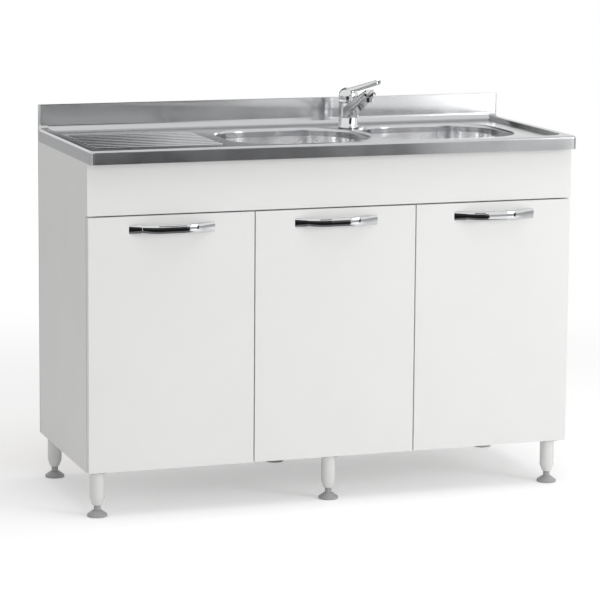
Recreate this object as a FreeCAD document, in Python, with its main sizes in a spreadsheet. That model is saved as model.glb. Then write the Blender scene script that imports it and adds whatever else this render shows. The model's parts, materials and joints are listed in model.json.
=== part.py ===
import FreeCAD, Part
import math
import os
from types import SimpleNamespace

import Sketcher

# Kitchen sink unit, 1200 mm wide: a three-door cabinet on adjustable feet under a pressed
# stainless-steel top with a drainer, two bowls, a mixer tap and its waste pipes.
# Frame: X to the right, Y to the back, Z up; the origin is on the floor, under the middle of the top.

doc = FreeCAD.newDocument("kitchen_sink_unit")

# ---------------------------------------------------------------- driving sizes, in mm and degrees
SIZES = [
    ("unit_width", 1200, "width of the cabinet and of the steel top"),
    ("top_depth", 500, "front to back of the steel top"),
    ("front_overhang", 30, "steel top beyond the door faces"),
    ("leg_height", 108, "floor to the underside of the cabinet"),
    ("carcass_height", 720, "underside of the cabinet to the steel top"),
    ("board", 18, "thickness of the faced boards"),
    ("back_board", 3, "thickness of the hardboard back"),
    ("door_gap", 2, "door back to the carcass"),
    ("joint", 3, "gap between neighbouring fronts"),
    ("door_reveal", 2.5, "foot of the doors above the underside of the cabinet"),
    ("fascia_height", 121, "fixed board above the doors"),
    ("rail_height", 100, "rails that join the side panels"),
    ("shelf_height", 300, "bottom panel to the shelf"),
    ("shelf_setback", 60, "shelf behind the carcass front"),
    ("board_clearance", 1, "play of the loose shelf between its panels"),
    ("shelf_pin_radius", 2.5, "shelf pin"),
    ("shelf_pin_length", 9, "shelf pin beyond its panel"),
    ("partition_room", 20, "partition top below the left bowl"),
    ("tongue_room", 2, "partition's front tongue to the left bowl"),
    ("sheet", 0.8, "steel sheet"),
    ("rim_height", 32, "edge of the steel top"),
    ("rim_width", 22, "flat band round the lowered deck"),
    ("rim_corner", 12, "upright corners of the rim"),
    ("rim_lip", 6, "rounded top edge of the rim"),
    ("flange_width", 15, "edge turned in under the rim"),
    ("deck_drop", 10, "deck below the rim"),
    ("deck_corner", 45, "front corners of the deck"),
    ("splash_rise", 57, "upstand above the rim"),
    ("splash_depth", 12, "thickness of the folded upstand"),
    ("cove_rise", 9, "cove up the foot of the upstand, above the rim"),
    ("bowl_length", 345, "bowl along X"),
    ("bowl_breadth", 315, "bowl along Y"),
    ("bowl_depth", 150, "deck to the bowl floor"),
    ("bowl_corner", 110, "upright corners of a bowl"),
    ("bowl_floor_radius", 35, "wall to floor"),
    ("bowl_edge", 8, "rounded edge between the deck and a bowl"),
    ("bowl_taper", 3, "slope of the bowl walls, in degrees"),
    ("bowl_divider", 32, "deck between the bowls"),
    ("bowls_margin", 57, "right edge of the deck to the right bowl"),
    ("bowls_y", 22.5, "middle of the bowls, front to back"),
    ("rib_count", 9, "drainer ribs"),
    ("rib_pitch", 32, "drainer rib spacing"),
    ("rib_margin_left", 23, "left edge of the deck to the drainer ribs"),
    ("rib_width", 12, "drainer rib"),
    ("rib_height", 2, "drainer rib above the deck"),
    ("rib_margin_right", 40, "drainer ribs to the left bowl"),
    ("clip_length", 30, "sink clip along the panel"),
    ("clip_sheet", 2, "sink clip metal"),
    ("clip_drop", 25, "sink clip down the panel"),
    ("clip_inset", 90, "sink clips from the ends of the side panel"),
    ("waste_hole_radius", 45, "hole in a bowl floor"),
    ("waste_clearance", 1, "waste cup in its hole"),
    ("waste_wall", 2, "waste cup wall"),
    ("waste_flange_radius", 56, "waste flange in the bowl"),
    ("waste_flange", 1.6, "waste flange thickness"),
    ("waste_depth", 48, "waste cup below the bowl floor"),
    ("waste_stub", 34, "outlet stub below the waste cup"),
    ("gasket", 3, "rubber ring under the bowl floor"),
    ("nut_height", 12, "ring nut of a waste"),
    ("basket_clearance", 1.5, "basket strainer in its cup"),
    ("basket_wall", 1.2, "basket strainer"),
    ("basket_depth", 36, "basket strainer"),
    ("basket_rim_radius", 49, "basket strainer rim"),
    ("basket_holes", 8, "holes round the basket floor"),
    ("basket_hole_radius", 4, "hole in the basket floor"),
    ("pipe_radius", 20, "outside of the waste pipes"),
    ("pipe_wall", 2, "wall of the waste pipes"),
    ("pipe_bend", 35, "bend of the cross pipe"),
    ("pipe_run", 55, "waste stub to the cross pipe's axis"),
    ("tee_length", 40, "cross pipe's axis to the trap inlet"),
    ("pipe_nut_wall", 6, "coupling nut round a pipe"),
    ("pipe_nut_height", 22, "coupling nut along a pipe"),
    ("union_ring", 2, "thread or flange inside a coupling nut, beyond its pipe"),
    ("union_shoulder", 1, "thicker end of a flanged pipe under the nut's lip, beyond the pipe"),
    ("union_lip", 3, "lip of a coupling nut behind the flange"),
    ("fit_clearance", 0.2, "turned fits between fixed pieces"),
    ("trap_radius", 31, "outside of the bottle trap"),
    ("trap_body_height", 78, "bottle trap above its cup"),
    ("trap_neck", 14, "trap inlet neck"),
    ("trap_cup_height", 70, "trap cup"),
    ("trap_outlet_drop", 34, "trap top to the outlet's axis"),
    ("cutout_width", 300, "opening in the back panel"),
    ("cutout_height", 240, "opening in the back panel"),
    ("tap_y", 142, "tap axis behind the middle"),
    ("tap_hole_radius", 17.5, "tap hole in the deck"),
    ("tap_seal", 1.5, "rubber ring under the tap"),
    ("tap_base_radius", 25.5, "tap foot"),
    ("tap_radius", 24, "tap body"),
    ("tap_base_height", 27, "deck to the swivel ring"),
    ("tap_column_radius", 14, "column inside the swivel ring"),
    ("swivel_height", 36, "swivel ring that carries the spout"),
    ("swivel_clearance", 0.3, "swivel ring to its neighbours"),
    ("collar_height", 4, "fixed collar over the swivel ring"),
    ("cap_gap", 4.5, "collar to the lever cap"),
    ("cap_height", 28, "lever cap"),
    ("cap_wall", 4, "lever cap"),
    ("spindle_radius", 6, "cartridge spindle"),
    ("spout_length", 150, "tap axis to the spout's nose"),
    ("spout_rise", 25, "slope of the spout's underside, in degrees"),
    ("spout_drop", 0.5, "spout below the top of its ring, where it leaves the ring"),
    ("spout_width", 38, "spout at its root"),
    ("nose_width", 30, "spout at its nose"),
    ("nose_height", 18, "spout at its nose"),
    ("aerator_radius", 12, "aerator under the nose"),
    ("aerator_height", 12, "aerator under the nose"),
    ("lever_length", 130, "tap axis to the lever's tip"),
    ("lever_rise", 30.5, "lever tip above its root"),
    ("lever_root_width", 18, "lever where it leaves the cap"),
    ("lever_tip_width", 11, "lever at its tip"),
    ("lever_height", 12, "lever, up and down"),
    ("lever_edge", 3.5, "rounded edges of the lever"),
    ("lever_turn", 14, "lever turned to the right of the spout, in degrees"),
    ("shank_radius", 15, "threaded shank under the deck"),
    ("shank_length", 55, "threaded shank under the deck"),
    ("clamp_radius", 24, "clamping plate under the deck"),
    ("clamp_thickness", 4, "clamping plate under the deck"),
    ("tap_nut_radius", 22, "nut on the shank"),
    ("tap_nut_height", 10, "nut on the shank"),
    ("inlet_radius", 4.2, "supply inlet in the shank"),
    ("inlet_spacing", 13, "between the two supply inlets"),
    ("inlet_depth", 12, "supply inlet in the shank"),
    ("handle_length", 190, "bow handle"),
    ("handle_height", 23, "bow handle, up and down"),
    ("handle_reach", 27, "bow handle beyond the door"),
    ("handle_thickness", 9, "bow handle in the middle"),
    ("handle_foot", 20, "end of the bow handle on the door"),
    ("handle_slope", 40, "run of the bow handle's sloping end"),
    ("handle_bend", 110, "outer bend of the bow handle"),
    ("handle_edge", 3, "rounded edges of the bow handle"),
    ("handle_drop", 31, "top of the door to the handle's middle"),
    ("screw_spacing", 160, "between the handle screws"),
    ("screw_radius", 2, "handle screw"),
    ("screw_head_radius", 4, "handle screw head"),
    ("screw_head", 1.6, "handle screw head behind the door"),
    ("screw_grip", 6, "handle screw in the handle"),
    ("hinge_inset", 100, "hinges from the ends of the door"),
    ("cup_radius", 17.5, "hinge cup"),
    ("cup_depth", 12, "hinge cup in the door"),
    ("cup_wall", 1, "hinge cup"),
    ("cup_edge", 22.5, "door edge to the middle of the cup"),
    ("cup_flange", 1, "hinge cup flange on the door"),
    ("cup_flange_height", 50, "hinge cup flange, up and down"),
    ("cup_flange_width", 15, "hinge cup flange, across"),
    ("cup_pin_length", 24, "link's pin in the cup"),
    ("cup_pin_edge", 11.4, "door edge to the link's pin in the cup"),
    ("cup_pin_depth", 13.4, "door face to the link's pin in the cup"),
    ("arm_pin_edge", 33.3, "door edge to the link's pin on the arm"),
    ("arm_pin_depth", 30.3, "door face to the link's pin on the arm"),
    ("hinge_pin_radius", 1.5, "hinge pins"),
    ("pin_clearance", 0.1, "pins and screws in their holes"),
    ("link_sagitta", 11, "height of the link's bow over its chord"),
    ("link_thickness", 3.6, "link seen from above"),
    ("link_height", 9, "link along its pins"),
    ("link_boss_radius", 3.3, "link round a pin"),
    ("arm_sheet", 1.4, "hinge arm metal"),
    ("arm_height", 14, "hinge arm, up and down"),
    ("arm_length", 48, "hinge arm behind its pin"),
    ("arm_nose_radius", 3.8, "hinge arm round its pin"),
    ("arm_foot_edge", 20, "door edge to the foot of the hinge arm"),
    ("arm_bridge_setback", 8, "arm's back starts behind its pin"),
    ("plate_height", 50, "hinge mounting plate, up and down"),
    ("plate_width", 20, "hinge mounting plate, front to back"),
    ("plate_setback", 37, "carcass front to the middle of the mounting plate"),
    ("leg_inset", 31, "legs from the sides of the cabinet"),
    ("leg_front", 20, "front legs behind the carcass front"),
    ("leg_back", 24, "rear legs from the back"),
    ("leg_radius", 17, "leg tube"),
    ("leg_neck_radius", 11, "lower end of the leg tube"),
    ("leg_plate", 3, "plate of a leg"),
    ("leg_plate_side", 40, "plate of a leg"),
    ("leg_straight", 62, "straight part of the leg tube"),
    ("leg_cone", 16, "tapered part of the leg tube"),
    ("foot_stem_radius", 8, "stem of a foot"),
    ("foot_stem", 58, "stem of a foot above its pad"),
    ("foot_clearance", 0.4, "stem in the leg tube"),
    ("foot_radius", 23.5, "pad of a foot"),
    ("foot_base", 5, "upright edge of a foot's pad"),
    ("foot_bell", 9, "sloping top of a foot's pad"),
]

sheet = doc.addObject("Spreadsheet::Sheet", "dims")
for row, (name, value, meaning) in enumerate(SIZES, 1):
    sheet.set(f"A{row}", meaning)
    sheet.set(f"B{row}", str(value))
    sheet.setAlias(f"B{row}", name)
doc.recompute()


class Size:
    """A value in mm or degrees, with the formula that ties it to the sheet."""

    def __init__(self, value, formula):
        self.value = float(value)
        self.formula = formula

    def __add__(self, other):
        other = as_size(other)
        return Size(self.value + other.value, f"({self.formula} + {other.formula})")

    def __sub__(self, other):
        other = as_size(other)
        return Size(self.value - other.value, f"({self.formula} - {other.formula})")

    def __rsub__(self, other):
        return as_size(other) - self

    def __mul__(self, other):
        other = as_size(other)
        return Size(self.value * other.value, f"({self.formula} * {other.formula})")

    def __truediv__(self, other):
        other = as_size(other)
        return Size(self.value / other.value, f"({self.formula} / {other.formula})")

    def __neg__(self):
        return Size(-self.value, f"(0 - {self.formula})")

    __radd__ = __add__
    __rmul__ = __mul__


def as_size(number):
    return number if isinstance(number, Size) else Size(number, str(number))


def tangent_of(angle):
    return Size(math.tan(math.radians(angle.value)), f"tan({angle.formula})")


def length_of(dx, dy):
    return Size(math.hypot(dx.value, dy.value), f"sqrt({dx.formula} ^ 2 + {dy.formula} ^ 2)")


def direction_of(dx, dy):
    """The angle of a slanting line, in degrees."""
    return Size(math.degrees(math.atan2(dy.value, dx.value)), f"atan2({dy.formula}; {dx.formula})")


S = SimpleNamespace(**{name: Size(value, f"dims.{name}") for name, value, _ in SIZES})
ZERO = as_size(0)


# ---------------------------------------------------------------- ways of making a piece
def bind(item, prop, size):
    """Ties a property of a document object to the sheet."""
    item.setExpression(prop, as_size(size).formula)


def place(item, x=0, y=0, z=0):
    for axis, size in zip("xyz", (x, y, z)):
        bind(item, f"Placement.Base.{axis}", size)


def block(label, low, high):
    """A board or bar between two opposite corners."""
    box = doc.addObject("Part::Box", label)
    box.Label = label
    for prop, start, end in zip(("Length", "Width", "Height"), low, high):
        bind(box, prop, as_size(end) - start)
    place(box, *low)
    return box


def new_body(label):
    body = doc.addObject("PartDesign::Body", label)
    body.Label = label
    return body


def sketch_on(body, name, plane, offset=0):
    """An empty sketch parallel to one of the body's origin planes."""
    item = body.newObject("Sketcher::SketchObject", name)
    origin = next(f for f in body.Origin.OriginFeatures if f.Role == plane)
    item.AttachmentSupport = [(origin, "")]
    item.MapMode = "FlatFace"
    bind(item, "AttachmentOffset.Base.z", offset)
    return item


def fix_point(sketch, geometry, which, x, y):
    """Holds a point of the sketch at a place given by the sheet."""
    for kind, size in (("DistanceX", as_size(x)), ("DistanceY", as_size(y))):
        number = sketch.addConstraint(Sketcher.Constraint(kind, -1, 1, geometry, which, size.value))
        bind(sketch, f"Constraints[{number}]", size)


def draw_circle(sketch, x, y, radius):
    centre = FreeCAD.Vector(as_size(x).value, as_size(y).value, 0)
    upright = FreeCAD.Vector(0, 0, 1)
    circle = sketch.addGeometry(Part.Circle(centre, upright, radius.value), False)
    fix_point(sketch, circle, 3, x, y)
    number = sketch.addConstraint(Sketcher.Constraint("Radius", circle, radius.value))
    bind(sketch, f"Constraints[{number}]", radius)


def draw_outline(sketch, corners, closed=True):
    """An outline through corners (x, y) or (x, y, radius), each held by the sheet."""
    points = [FreeCAD.Vector(as_size(c[0]).value, as_size(c[1]).value, 0) for c in corners]
    count = len(corners)
    starts = []
    ends = []
    arcs = {}
    turns_left = {}
    for i, corner in enumerate(corners):
        to_last = (points[i - 1] - points[i]).normalize()
        to_next = (points[(i + 1) % count] - points[i]).normalize()
        turns_left[i] = to_next.cross(to_last).z > 0
        if len(corner) == 2:
            ends.append(points[i])
            starts.append(points[i])
            continue
        half = to_last.getAngle(to_next) / 2
        reach = corner[2].value / math.tan(half)
        centre = points[i] + (to_last + to_next).normalize() * (corner[2].value / math.sin(half))
        ends.append(points[i] + to_last * reach)
        starts.append(points[i] + to_next * reach)
        middle = centre + (points[i] - centre).normalize() * corner[2].value
        arcs[i] = Part.Arc(ends[i], middle, starts[i])
    lines = []
    for i in range(count if closed else count - 1):
        side = Part.LineSegment(starts[i], ends[(i + 1) % count])
        lines.append(sketch.addGeometry(side, False))
    if not closed:
        fix_point(sketch, lines[-1], 2, corners[-1][0], corners[-1][1])
        fix_point(sketch, lines[0], 1, corners[0][0], corners[0][1])
    for i, corner in enumerate(corners):
        if not closed and i in (0, count - 1):
            continue
        before = lines[i - 1]
        after = lines[i]
        if i not in arcs:
            sketch.addConstraint(Sketcher.Constraint("Coincident", before, 2, after, 1))
            fix_point(sketch, after, 1, corner[0], corner[1])
            continue
        arc = sketch.addGeometry(arcs[i], False)
        head, tail = (1, 2) if turns_left[i] else (2, 1)
        sketch.addConstraint(Sketcher.Constraint("Tangent", before, 2, arc, head))
        sketch.addConstraint(Sketcher.Constraint("Tangent", arc, tail, after, 1))
        number = sketch.addConstraint(Sketcher.Constraint("Radius", arc, corner[2].value))
        bind(sketch, f"Constraints[{number}]", corner[2])
        vertex = sketch.addGeometry(Part.Point(points[i]), True)
        sketch.addConstraint(Sketcher.Constraint("PointOnObject", vertex, 1, before))
        sketch.addConstraint(Sketcher.Constraint("PointOnObject", vertex, 1, after))
        fix_point(sketch, vertex, 1, corner[0], corner[1])


def draw_rectangle(sketch, x0, y0, x1, y1, radius=None):
    corners = [(x0, y0), (x1, y0), (x1, y1), (x0, y1)]
    if radius is not None:
        corners = [corner + (radius,) for corner in corners]
    draw_outline(sketch, corners)


def extrude(body, kind, name, sketch, length, turned=False, both_ways=False, taper=None):
    """A Pad or a Pocket of a sketch."""
    feature = body.newObject(f"PartDesign::{kind}", name)
    feature.Profile = sketch
    bind(feature, "Length", length)
    feature.Reversed = turned
    feature.Midplane = both_ways
    if taper is not None:
        bind(feature, "TaperAngle", taper)
    doc.recompute()
    return feature


def turned_body(label, corners):
    """A body turned about its own upright axis from an outline of (radius, height)."""
    body = new_body(label)
    sketch = sketch_on(body, f"{label}_profile", "XZ_Plane")
    draw_outline(sketch, corners)
    turning = body.newObject("PartDesign::Revolution", f"{label}_turning")
    turning.Profile = sketch
    turning.ReferenceAxis = (sketch, ["V_Axis"])
    doc.recompute()
    return body


def round_edges(body, name, radius, chosen):
    """Rounds the edges of the body's last feature that the test picks out."""
    base = body.Tip
    names = [f"Edge{i}" for i, edge in enumerate(base.Shape.Edges, 1) if chosen(edge)]
    feature = body.newObject("PartDesign::Fillet", name)
    feature.Base = (base, names)
    bind(feature, "Radius", radius)
    doc.recompute()
    return feature


def is_level(edge):
    return edge.BoundBox.ZLength < 0.001


def is_upright(edge):
    box = edge.BoundBox
    return box.XLength < 0.001 and box.YLength < 0.001


def near(a, b):
    return abs(a - as_size(b).value) < 0.01


def combine(kind, label, base, tool):
    """Part::Cut, Part::Fuse or Part::Common of two objects."""
    item = doc.addObject(f"Part::{kind}", label)
    item.Label = label
    item.Base = base
    item.Tool = tool
    return item


def group(label, items):
    """One node made of several separate solids."""
    compound = doc.addObject("Part::Compound", label)
    compound.Label = label
    compound.Links = items
    return compound


def mirrored(label, source):
    """The same piece on the other hand, reflected in the plane X = 0."""
    item = doc.addObject("Part::Mirroring", label)
    item.Label = label
    item.Source = source
    item.Base = FreeCAD.Vector(0, 0, 0)
    item.Normal = FreeCAD.Vector(1, 0, 0)
    return item


def repeated(label, source, places):
    """One node of like solids: the source moved to each place."""
    links = []
    for number, spot in enumerate(places):
        link = doc.addObject("App::Link", f"{label}_{number}")
        link.LinkedObject = source
        link.LinkTransform = False
        place(link, *spot)
        links.append(link)
    return group(label, links)


nodes = []


def keep(item):
    """Marks a finished sub-part as a node of the assembly."""
    nodes.append(item)
    return item


# ---------------------------------------------------------------- levels and faces that pieces share
left = -S.unit_width / 2
right = S.unit_width / 2
top_front = -S.top_depth / 2
back = S.top_depth / 2
door_front = top_front + S.front_overhang
door_back = door_front + S.board
carcass_front = door_back + S.door_gap
carcass_back = back - S.back_board
carcass_top = S.leg_height + S.carcass_height
weld_level = carcass_top + 2 * S.sheet
inside_left = left + S.board
inside_right = right - S.board
floor_top = S.leg_height + S.board
rim_top = carcass_top + S.rim_height
deck = rim_top - S.deck_drop
splash_face = back - S.splash_depth
bowl_floor = deck - S.bowl_depth
bowls_x = right - S.rim_width - S.bowls_margin - S.bowl_length - S.bowl_divider / 2
bowl_step = (S.bowl_length + S.bowl_divider) / 2
door_low = S.leg_height + S.door_reveal
door_top = carcass_top - S.fascia_height - S.joint
door_width = S.unit_width / 3 - S.joint
split_left = left + S.unit_width / 3
stub_end = bowl_floor - S.waste_depth - S.waste_stub
cross_level = stub_end - S.pipe_run
trap_top = cross_level - S.tee_length
outlet_level = -S.trap_neck - S.trap_outlet_drop

# ---------------------------------------------------------------- cabinet boards
keep(block("side_panel_left", (left, carcass_front, S.leg_height), (inside_left, carcass_back, carcass_top)))
keep(block("side_panel_right", (inside_right, carcass_front, S.leg_height), (right, carcass_back, carcass_top)))
keep(block("bottom_panel", (inside_left, carcass_front, S.leg_height), (inside_right, carcass_back, floor_top)))
rail_low = carcass_top - S.rail_height
rail_back = carcass_front + S.board
keep(block("front_rail", (inside_left, carcass_front, rail_low), (inside_right, rail_back, carcass_top)))
keep(block("rear_rail", (inside_left, carcass_back - S.board, rail_low), (inside_right, carcass_back, carcass_top)))
fascia_low = (left, carcass_front - S.board, carcass_top - S.fascia_height)
keep(block("fascia_panel", fascia_low, (right, carcass_front, carcass_top)))

# The partition stands under the left bowl: only a tongue behind the front rail goes up to the top.
partition = keep(new_body("partition_panel"))
partition_left = split_left - S.board / 2
partition_sketch = sketch_on(partition, "partition_outline", "YZ_Plane", partition_left)
partition_top = bowl_floor - S.partition_room
tongue_back = S.bowls_y - S.bowl_breadth / 2 - S.sheet - S.tongue_room
draw_outline(partition_sketch, [
    (carcass_front, floor_top),
    (carcass_back, floor_top),
    (carcass_back, partition_top),
    (tongue_back, partition_top),
    (tongue_back, carcass_top),
    (rail_back, carcass_top),
    (rail_back, rail_low),
    (carcass_front, rail_low),
])
extrude(partition, "Pad", "partition_board", partition_sketch, S.board)

# The hardboard back covers the edges of the boards and is open behind the trap.
cutout_middle = trap_top + outlet_level
back_sheet = block("back_sheet", (left, carcass_back, S.leg_height), (right, back, carcass_top))
cutout_low = (bowls_x - S.cutout_width / 2, carcass_back - S.back_board, cutout_middle - S.cutout_height / 2)
cutout_high = (bowls_x + S.cutout_width / 2, back + S.back_board, cutout_middle + S.cutout_height / 2)
keep(combine("Cut", "back_panel", back_sheet, block("back_cutout", cutout_low, cutout_high)))

# The shelf lies on four pins in the one-door compartment.
shelf_bottom = floor_top + S.shelf_height
shelf_left = inside_left + S.board_clearance
shelf_right = partition_left - S.board_clearance
shelf_front = carcass_front + S.shelf_setback
keep(block("shelf", (shelf_left, shelf_front, shelf_bottom),
           (shelf_right, carcass_back - S.board_clearance, shelf_bottom + S.board)))
pin_height = shelf_bottom - S.shelf_pin_radius
shelf_pins = []
for pin_name, pin_x in (("left", inside_left), ("right", partition_left - S.shelf_pin_length)):
    for pin_y in (shelf_front + S.shelf_setback, carcass_back - S.shelf_setback):
        pin = doc.addObject("Part::Cylinder", f"shelf_pin_{pin_name}_{len(shelf_pins)}")
        bind(pin, "Radius", S.shelf_pin_radius)
        bind(pin, "Height", S.shelf_pin_length)
        pin.Placement.Rotation = FreeCAD.Rotation(FreeCAD.Vector(0, 1, 0), 90)
        place(pin, pin_x, pin_y, pin_height)
        shelf_pins.append(pin)
keep(group("shelf_pins", shelf_pins))

# ---------------------------------------------------------------- pressed steel top
bowl_places = [("left", bowls_x - bowl_step), ("right", bowls_x + bowl_step)]


def pressed_form(label, inset, base):
    """The solid under one skin of the pressed sheet: the outer skin, or the inner one a sheet below it."""
    form = new_body(label)
    x0 = left + inset
    x1 = right - inset
    y0 = top_front + inset
    y1 = back - inset
    top = rim_top - inset
    face = splash_face + inset
    outline = sketch_on(form, f"{label}_rim", "XY_Plane", base)
    upright_corner = S.rim_corner - inset
    draw_outline(outline, [(x0, y0, upright_corner), (x1, y0, upright_corner), (x1, y1), (x0, y1)])
    extrude(form, "Pad", f"{label}_block", outline, top - base)
    upstand = sketch_on(form, f"{label}_upstand", "XY_Plane", top)
    draw_rectangle(upstand, x0, face, x1, y1)
    extrude(form, "Pad", f"{label}_splash", upstand, S.splash_rise)
    round_edges(form, f"{label}_side_cove", S.cove_rise + inset,
                lambda e: is_level(e) and near(e.CenterOfMass.z, top) and near(e.CenterOfMass.y, face))
    recess = sketch_on(form, f"{label}_recess", "YZ_Plane")
    draw_outline(recess, [
        (top_front + S.rim_width - inset, deck - inset),
        (face, deck - inset, S.deck_drop + S.cove_rise + inset),
        (face, rim_top + S.splash_rise),
        (top_front + S.rim_width - inset, rim_top + S.splash_rise),
    ])
    recess_width = S.unit_width - 2 * S.rim_width + 2 * inset
    extrude(form, "Pocket", f"{label}_deck", recess, recess_width, both_ways=True)
    front_wall = top_front + S.rim_width - inset
    round_edges(form, f"{label}_deck_corners", S.deck_corner + inset,
                lambda e: is_upright(e) and near(e.CenterOfMass.y, front_wall))
    for side, middle in bowl_places:
        mouth = sketch_on(form, f"{label}_mouth_{side}", "XY_Plane", deck)
        half_length = S.bowl_length / 2 + inset
        half_breadth = S.bowl_breadth / 2 + inset
        draw_rectangle(mouth, middle - half_length, S.bowls_y - half_breadth,
                       middle + half_length, S.bowls_y + half_breadth, S.bowl_corner + inset)
        extrude(form, "Pocket", f"{label}_opening_{side}", mouth, S.rim_height)
    bowl_front = S.bowls_y - S.bowl_breadth / 2 - inset
    bowl_back = S.bowls_y + S.bowl_breadth / 2 + inset
    round_edges(form, f"{label}_bowl_edges", S.bowl_edge - inset,
                lambda e: (is_level(e) and near(e.CenterOfMass.z, deck - inset)
                           and bowl_front.value - 1 < e.BoundBox.YMin and e.BoundBox.YMax < bowl_back.value + 1
                           and e.BoundBox.XLength < S.bowl_length.value))
    round_edges(form, f"{label}_lip", S.rim_lip - inset,
                lambda e: (is_level(e) and near(e.CenterOfMass.z, top)
                           and (near(e.BoundBox.YMin, y0) or near(e.BoundBox.XMin, x0) or near(e.BoundBox.XMax, x1))
                           and e.CenterOfMass.y < face.value - 1))
    return form


outer_form = pressed_form("top_outer", ZERO, carcass_top)
inner_form = pressed_form("top_inner", S.sheet, carcass_top + S.sheet)
flange_hole = block("top_underside",
                    (left + S.flange_width, top_front + S.flange_width, carcass_top - S.sheet),
                    (right - S.flange_width, back - S.flange_width, weld_level))
hollow = combine("Fuse", "top_hollow", inner_form, flange_hole)
shell = combine("Cut", "top_shell", outer_form, hollow)
doc.recompute()

# Drainer ribs stand on the deck, left of the bowls: long beads of which only the crown shows.
rib_radius = (S.rib_width * S.rib_width / 4 + S.rib_height * S.rib_height) / (2 * S.rib_height)
rib_left = left + S.rim_width + S.rib_margin_left
rib_length = bowls_x - bowl_step - S.bowl_length / 2 - S.rib_margin_right - rib_left
bead = new_body("drainer_bead")
bead_sketch = sketch_on(bead, "bead_profile", "XZ_Plane")
draw_outline(bead_sketch, [
    (ZERO, ZERO),
    (ZERO, rib_radius, S.rib_width / 2),
    (rib_length, rib_radius, S.rib_width / 2),
    (rib_length, ZERO),
])
bead_turning = bead.newObject("PartDesign::Revolution", "bead_turning")
bead_turning.Profile = bead_sketch
bead_turning.ReferenceAxis = (bead_sketch, ["H_Axis"])
place(bead, rib_left, ZERO, deck + S.rib_height - rib_radius)
crown_low = (rib_left - rib_radius, -rib_radius, deck - S.sheet / 2)
crown_high = (rib_left + rib_length + rib_radius, rib_radius, deck + S.rib_height * 2)
rib = combine("Common", "drainer_rib", bead, block("rib_crown", crown_low, crown_high))
first_rib = S.bowls_y - S.rib_pitch * (S.rib_count - 1) / 2
rib_places = [(ZERO, first_rib + S.rib_pitch * number, ZERO) for number in range(int(S.rib_count.value))]
ribs = repeated("drainer_ribs", rib, rib_places)
ribbed = combine("Fuse", "ribbed_top", shell, ribs)
tap_hole = doc.addObject("Part::Cylinder", "tap_hole")
bind(tap_hole, "Radius", S.tap_hole_radius)
bind(tap_hole, "Height", S.rim_height)
place(tap_hole, bowls_x, S.tap_y, carcass_top + S.deck_drop)
keep(combine("Cut", "sink_top", ribbed, tap_hole))

# Each bowl is drawn from one sheet and welded to the collar of its opening.
def bowl_form(label, middle, outset):
    """The solid under one skin of a bowl: the inner skin, or the outer one a sheet beyond it."""
    form = new_body(label)
    mouth = sketch_on(form, f"{label}_mouth", "XY_Plane", weld_level)
    half_length = S.bowl_length / 2 + outset
    half_breadth = S.bowl_breadth / 2 + outset
    draw_rectangle(mouth, middle - half_length, S.bowls_y - half_breadth,
                   middle + half_length, S.bowls_y + half_breadth, S.bowl_corner + outset)
    depth = weld_level - bowl_floor + outset
    extrude(form, "Pad", f"{label}_block", mouth, depth, turned=True, taper=-S.bowl_taper)
    round_edges(form, f"{label}_floor", S.bowl_floor_radius + outset,
                lambda e: near(e.CenterOfMass.z, bowl_floor - outset))
    return form


for side, middle in bowl_places:
    skins = [bowl_form(f"bowl_{side}_{skin}", middle, outset) for skin, outset in (("outer", S.sheet), ("inner", ZERO))]
    drawn = combine("Cut", f"bowl_{side}_sheet", *skins)
    waste_hole = doc.addObject("Part::Cylinder", f"waste_hole_{side}")
    bind(waste_hole, "Radius", S.waste_hole_radius)
    bind(waste_hole, "Height", 2 * S.waste_depth)
    place(waste_hole, middle, S.bowls_y, bowl_floor - S.waste_depth)
    keep(combine("Cut", f"bowl_{side}", drawn, waste_hole))

# Clips hook over the turned-in edge of the top and are screwed to the side panels.
clip_profile = [
    (inside_left, carcass_top - S.clip_drop),
    (inside_left + S.clip_sheet, carcass_top - S.clip_drop),
    (inside_left + S.clip_sheet, carcass_top + S.sheet + S.clip_sheet),
    (left + S.flange_width - S.clip_sheet, carcass_top + S.sheet + S.clip_sheet),
    (left + S.flange_width - S.clip_sheet, carcass_top + S.sheet),
    (inside_left, carcass_top + S.sheet),
]
clip = new_body("sink_clip")
clip_sketch = sketch_on(clip, "clip_profile", "XZ_Plane")
draw_outline(clip_sketch, clip_profile)
extrude(clip, "Pad", "clip_strip", clip_sketch, S.clip_length, both_ways=True)
clip_right = mirrored("sink_clip_right", clip)
clip_rows = [(ZERO, carcass_front + S.clip_inset, ZERO), (ZERO, carcass_back - S.clip_inset, ZERO)]
left_clips = repeated("sink_clips_left", clip, clip_rows)
right_clips = repeated("sink_clips_right", clip_right, clip_rows)
keep(group("sink_clips", [left_clips, right_clips]))

# ---------------------------------------------------------------- wastes, cross pipe and trap
cup_outside = S.waste_hole_radius - S.waste_clearance
cup_inside = cup_outside - S.waste_wall
pipe_inside = S.pipe_radius - S.pipe_wall
union_radius = S.pipe_radius + S.union_ring
shoulder_radius = S.pipe_radius + S.union_shoulder
half_nut = S.pipe_nut_height / 2
flange_length = half_nut - S.union_lip
under_bowl = -S.sheet
gasket_low = under_bowl - S.gasket
waste_centres = [(middle, S.bowls_y, bowl_floor) for _, middle in bowl_places]
waste_foot = -S.waste_depth - S.waste_stub
waste_outline = [
    (pipe_inside, waste_foot),
    (union_radius, waste_foot),
    (union_radius, waste_foot + flange_length),
    (shoulder_radius, waste_foot + flange_length),
    (shoulder_radius, waste_foot + half_nut),
    (S.pipe_radius, waste_foot + half_nut),
    (S.pipe_radius, -S.waste_depth),
    (cup_outside, -S.waste_depth),
    (cup_outside, ZERO),
    (S.waste_flange_radius, ZERO),
    (S.waste_flange_radius, S.waste_flange),
    (cup_inside, S.waste_flange),
    (cup_inside, S.waste_wall - S.waste_depth),
    (pipe_inside, S.waste_wall - S.waste_depth),
]
basket_radius = cup_inside - S.basket_clearance
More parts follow.
